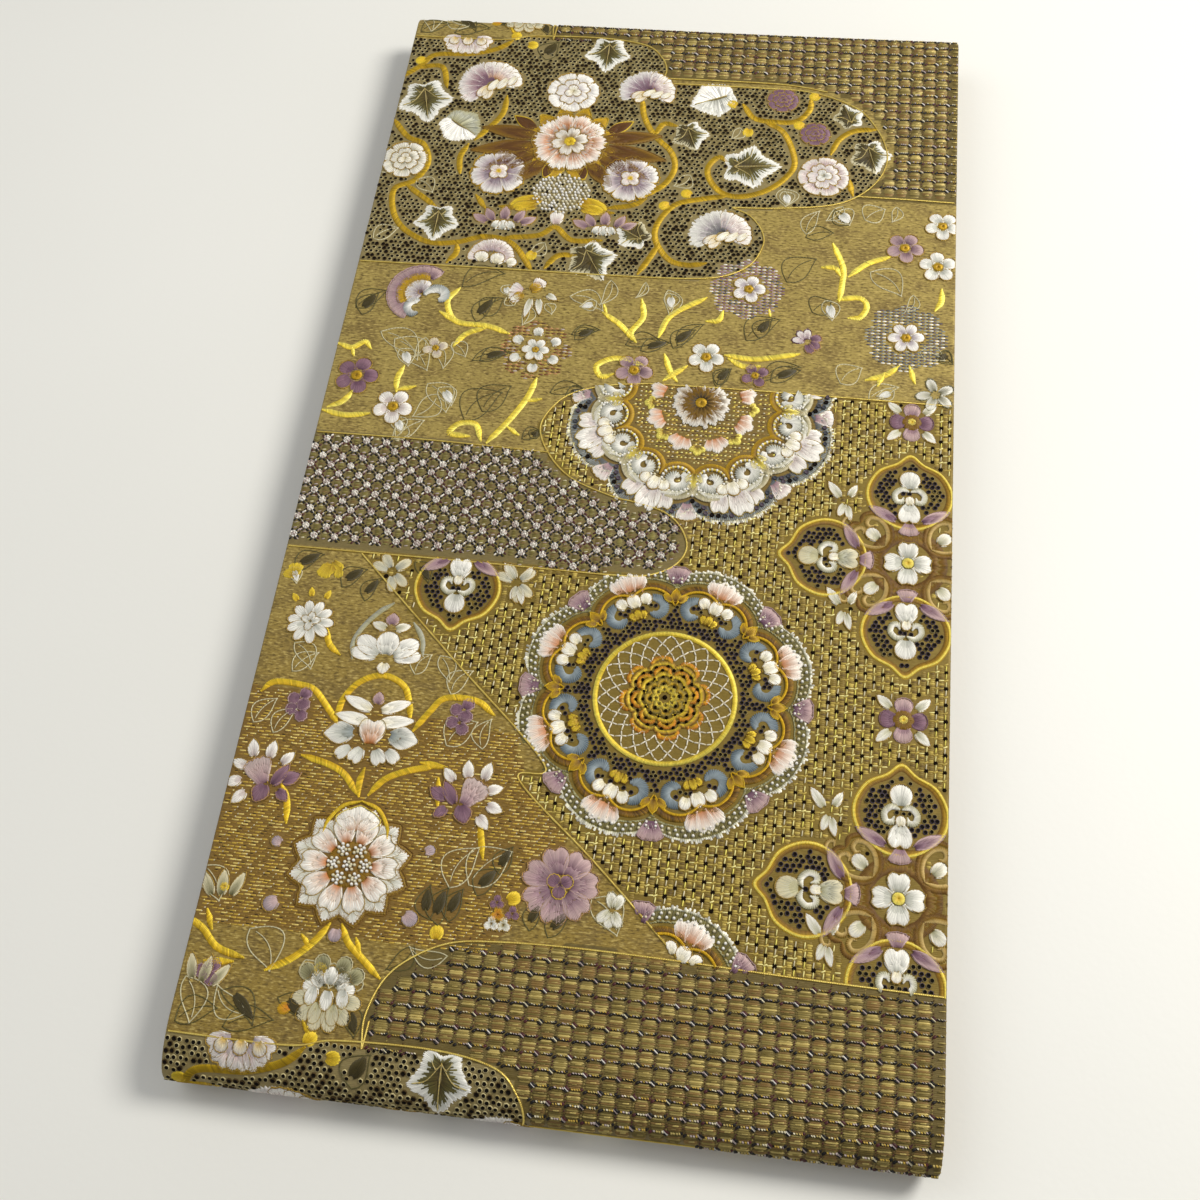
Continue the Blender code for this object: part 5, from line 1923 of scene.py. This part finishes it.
class OBI_OT_field_knots(bpy.types.Operator):
    """Packs the medallion and the drops with knots"""

    bl_idname = "obi.field_knots"
    bl_label = "Field knots"

    def execute(self, context):
        needle = Needle(141, marks=False, within=mesh_field)

        def round_medallion(points):
            keep = np.zeros(len(points), bool)
            for centre in MEDALLIONS[1:]:
                away = points - centre
                distance = length(away)
                keep |= (distance > 33.2) & (distance < scallop(47.5, 54.0)(bearings(away)))
            return keep

        scatter_knots(needle, round_medallion, 2.4, 2.35, "dusk dusk knot_dim")
        for outline in drops:
            scatter_knots(needle, lambda p, o=outline: inside(o, p), 2.6, 2.5, "dusk dusk knot_dim")
        field = np.vstack([grid(0.8, 0.8, *outline.min(0), *outline.max(0))[2] for outline in drops])
        field = field[mesh_field(field)]
        hoop.mark(field[np.any([inside(outline, field) for outline in drops], axis=0)], 0.5)
        for centre in MEDALLIONS[1:]:
            rays = np.meshgrid(np.linspace(0, 2 * math.pi, 400), np.linspace(0, 57, 120))
            disc = polar(*rays).reshape(-1, 2) + centre
            hoop.mark(disc[mesh_field(disc)], 0.5)
        sew("field_knots", needle, knot_shape, knot_thread())
        return {"FINISHED"}


# ---------------------------------------------------------------- the stage
TABLE_HALF = 3.0
LAMPS = (  # name, place, width in metres, tint, and the setting that holds its power
    ("key_light", (1.1, 0.5, 1.25), 0.7, (1.0, 0.985, 0.95), "key_power"),
    ("fill_light", (-1.3, 0.4, 1.6), 1.6, (0.94, 0.97, 1.0), "fill_power"),
)
CAMERA_PLACE = (0.059, -0.340, 0.586)
CAMERA_TURN = (26.02, 2.97, 7.01)
SENSOR_WIDTH = 36.0


@finish()
def pale_table(tree):
    """A pale table top with a faint grain."""
    place = tree.place()
    grain = tree.node("ShaderNodeTexVoronoi", {"feature": "SMOOTH_F1"}, {"Vector": place, "Scale": 420.0})
    soft = tree.noise(place, 3.0)
    tone, bump = tree.mix(soft, "ebe9e0", "f4f2ea"), tree.bump(0.12, 0.0003, grain)
    return {"Base Color": tone, "Roughness": 0.5 + soft * 0.1, "Normal": bump}


class OBI_OT_stage(bpy.types.Operator):
    """Sets a pale table, a large soft light high on the right and a camera above the front edge"""

    bl_idname = "obi.stage"
    bl_label = "Stage"

    def execute(self, context):
        corners = [(x * TABLE_HALF, y * TABLE_HALF, 0) for x, y in ((-1, -1), (1, -1), (1, 1), (-1, 1))]
        table = new_object("table", new_mesh("table", corners, [(0, 1, 2, 3)]))
        table.data.materials.append(pale_table())

        sizes = context.scene.obi_stage
        for name, place, width, tint, power in LAMPS:
            lamp = bpy.data.lights.new(name, "AREA")
            lamp.shape, lamp.size, lamp.color, lamp.energy = "DISK", width, tint, getattr(sizes, power)
            obj = new_object(name, lamp)
            obj.location = place
            obj.rotation_euler = (-Vector(place)).to_track_quat("-Z", "Y").to_euler()

        world = bpy.data.worlds.new("soft_room")
        world.use_nodes = True
        room = world.node_tree.nodes["Background"].inputs
        room["Color"].default_value = (0.97, 0.98, 1.0, 1)
        room["Strength"].default_value = sizes.room_glow
        context.scene.world = world

        lens = bpy.data.cameras.new("camera")
        lens.sensor_width, lens.lens = SENSOR_WIDTH, sizes.lens
        camera = new_object("camera", lens)
        camera.location = CAMERA_PLACE
        camera.rotation_euler = [math.radians(a) for a in CAMERA_TURN]
        context.scene.camera = camera
        context.scene.view_settings.view_transform = "Standard"
        return {"FINISHED"}


# ---------------------------------------------------------------- settings
def dye(name, code, description):
    """A colour that a user can change."""
    usual = tuple(float(x) for x in colour(code))
    return FloatVectorProperty(
        name=name, description=description, subtype="COLOR", size=3, min=0.0, max=1.0, default=usual
    )


def amount(name, usual, low, description, **more):
    """A number that a user can change."""
    return FloatProperty(name=name, description=description, default=usual, min=low, **more)


class ObiClothSettings(bpy.types.PropertyGroup):
    """The colours of the woven ground."""

    ground_far: dye("Far ground", "a8924e", "Gold of the ground at the far end of the pack")
    ground_near: dye("Near ground", "937a36", "Gold of the ground towards the front fold")
    ground_worn: dye("Worn ground", "776230", "Silk that shows where the gold is rubbed")


class ObiStitchSettings(bpy.types.PropertyGroup):
    """The sizes of the embroidery threads."""

    thickness: amount("Thread thickness", 1.0, 0.5, "Width of every stitch, against its usual width", max=2.0)
    height: amount("Thread height", 1.0, 0.3, "How proud every stitch stands, against its usual height", max=2.0)
    cord_width: amount("Cord width", 0.0009, 0.0004, "Thickness of the gold cord", max=0.003, unit="LENGTH")


class ObiStageSettings(bpy.types.PropertyGroup):
    """The light and the camera."""

    key_power: amount("Key light", 25.0, 0.0, "Power of the large soft light", unit="POWER")
    fill_power: amount("Fill light", 7.5, 0.0, "Power of the light on the other side", unit="POWER")
    room_glow: amount("Room glow", 0.36, 0.0, "Brightness of the room around")
    lens: amount("Lens", 40.95, 10.0, "Focal length of the camera, in millimetres")


SETTINGS = {"obi_cloth": ObiClothSettings, "obi_stitches": ObiStitchSettings, "obi_stage": ObiStageSettings}

# In the order of the work: what is stitched first keeps its place, and the grounds fill what is left.
OPERATORS = (
    *(OBI_OT_face_cloth, OBI_OT_back_cloth, OBI_OT_inner_folds, OBI_OT_edge_seams, OBI_OT_cords, OBI_OT_rosettes),
    *(OBI_OT_medallion, OBI_OT_half_medallion, OBI_OT_cloud_flowers, OBI_OT_band_flowers, OBI_OT_lotus_field),
    *(OBI_OT_vines, OBI_OT_leaves, OBI_OT_field_knots, OBI_OT_couched_lines, OBI_OT_knots, OBI_OT_basket),
    *(OBI_OT_stars, OBI_OT_mesh, OBI_OT_stage),
)


class OBI_PT_panel(bpy.types.Panel):
    """Lists the sash's settings and pieces."""

    bl_label = "Obi Sash"
    bl_space_type = "VIEW_3D"
    bl_region_type = "UI"
    bl_category = "Obi Sash"

    def draw(self, context):
        for group, settings in SETTINGS.items():
            box = self.layout.box()
            for name in settings.__annotations__:
                box.prop(getattr(context.scene, group), name)
        for item in OPERATORS:
            self.layout.operator(item.bl_idname)


def register():
    for item in (*SETTINGS.values(), *OPERATORS, OBI_PT_panel):
        bpy.utils.register_class(item)
    for name, group in SETTINGS.items():
        setattr(bpy.types.Scene, name, PointerProperty(type=group))


def unregister():
    for name in SETTINGS:
        delattr(bpy.types.Scene, name)
    for item in (OBI_PT_panel, *reversed(OPERATORS), *SETTINGS.values()):
        bpy.utils.unregister_class(item)


def main():
    register()
    for item in OPERATORS:
        getattr(bpy.ops.obi, item.bl_idname.split(".")[1])()


if __name__ == "__main__":
    main()
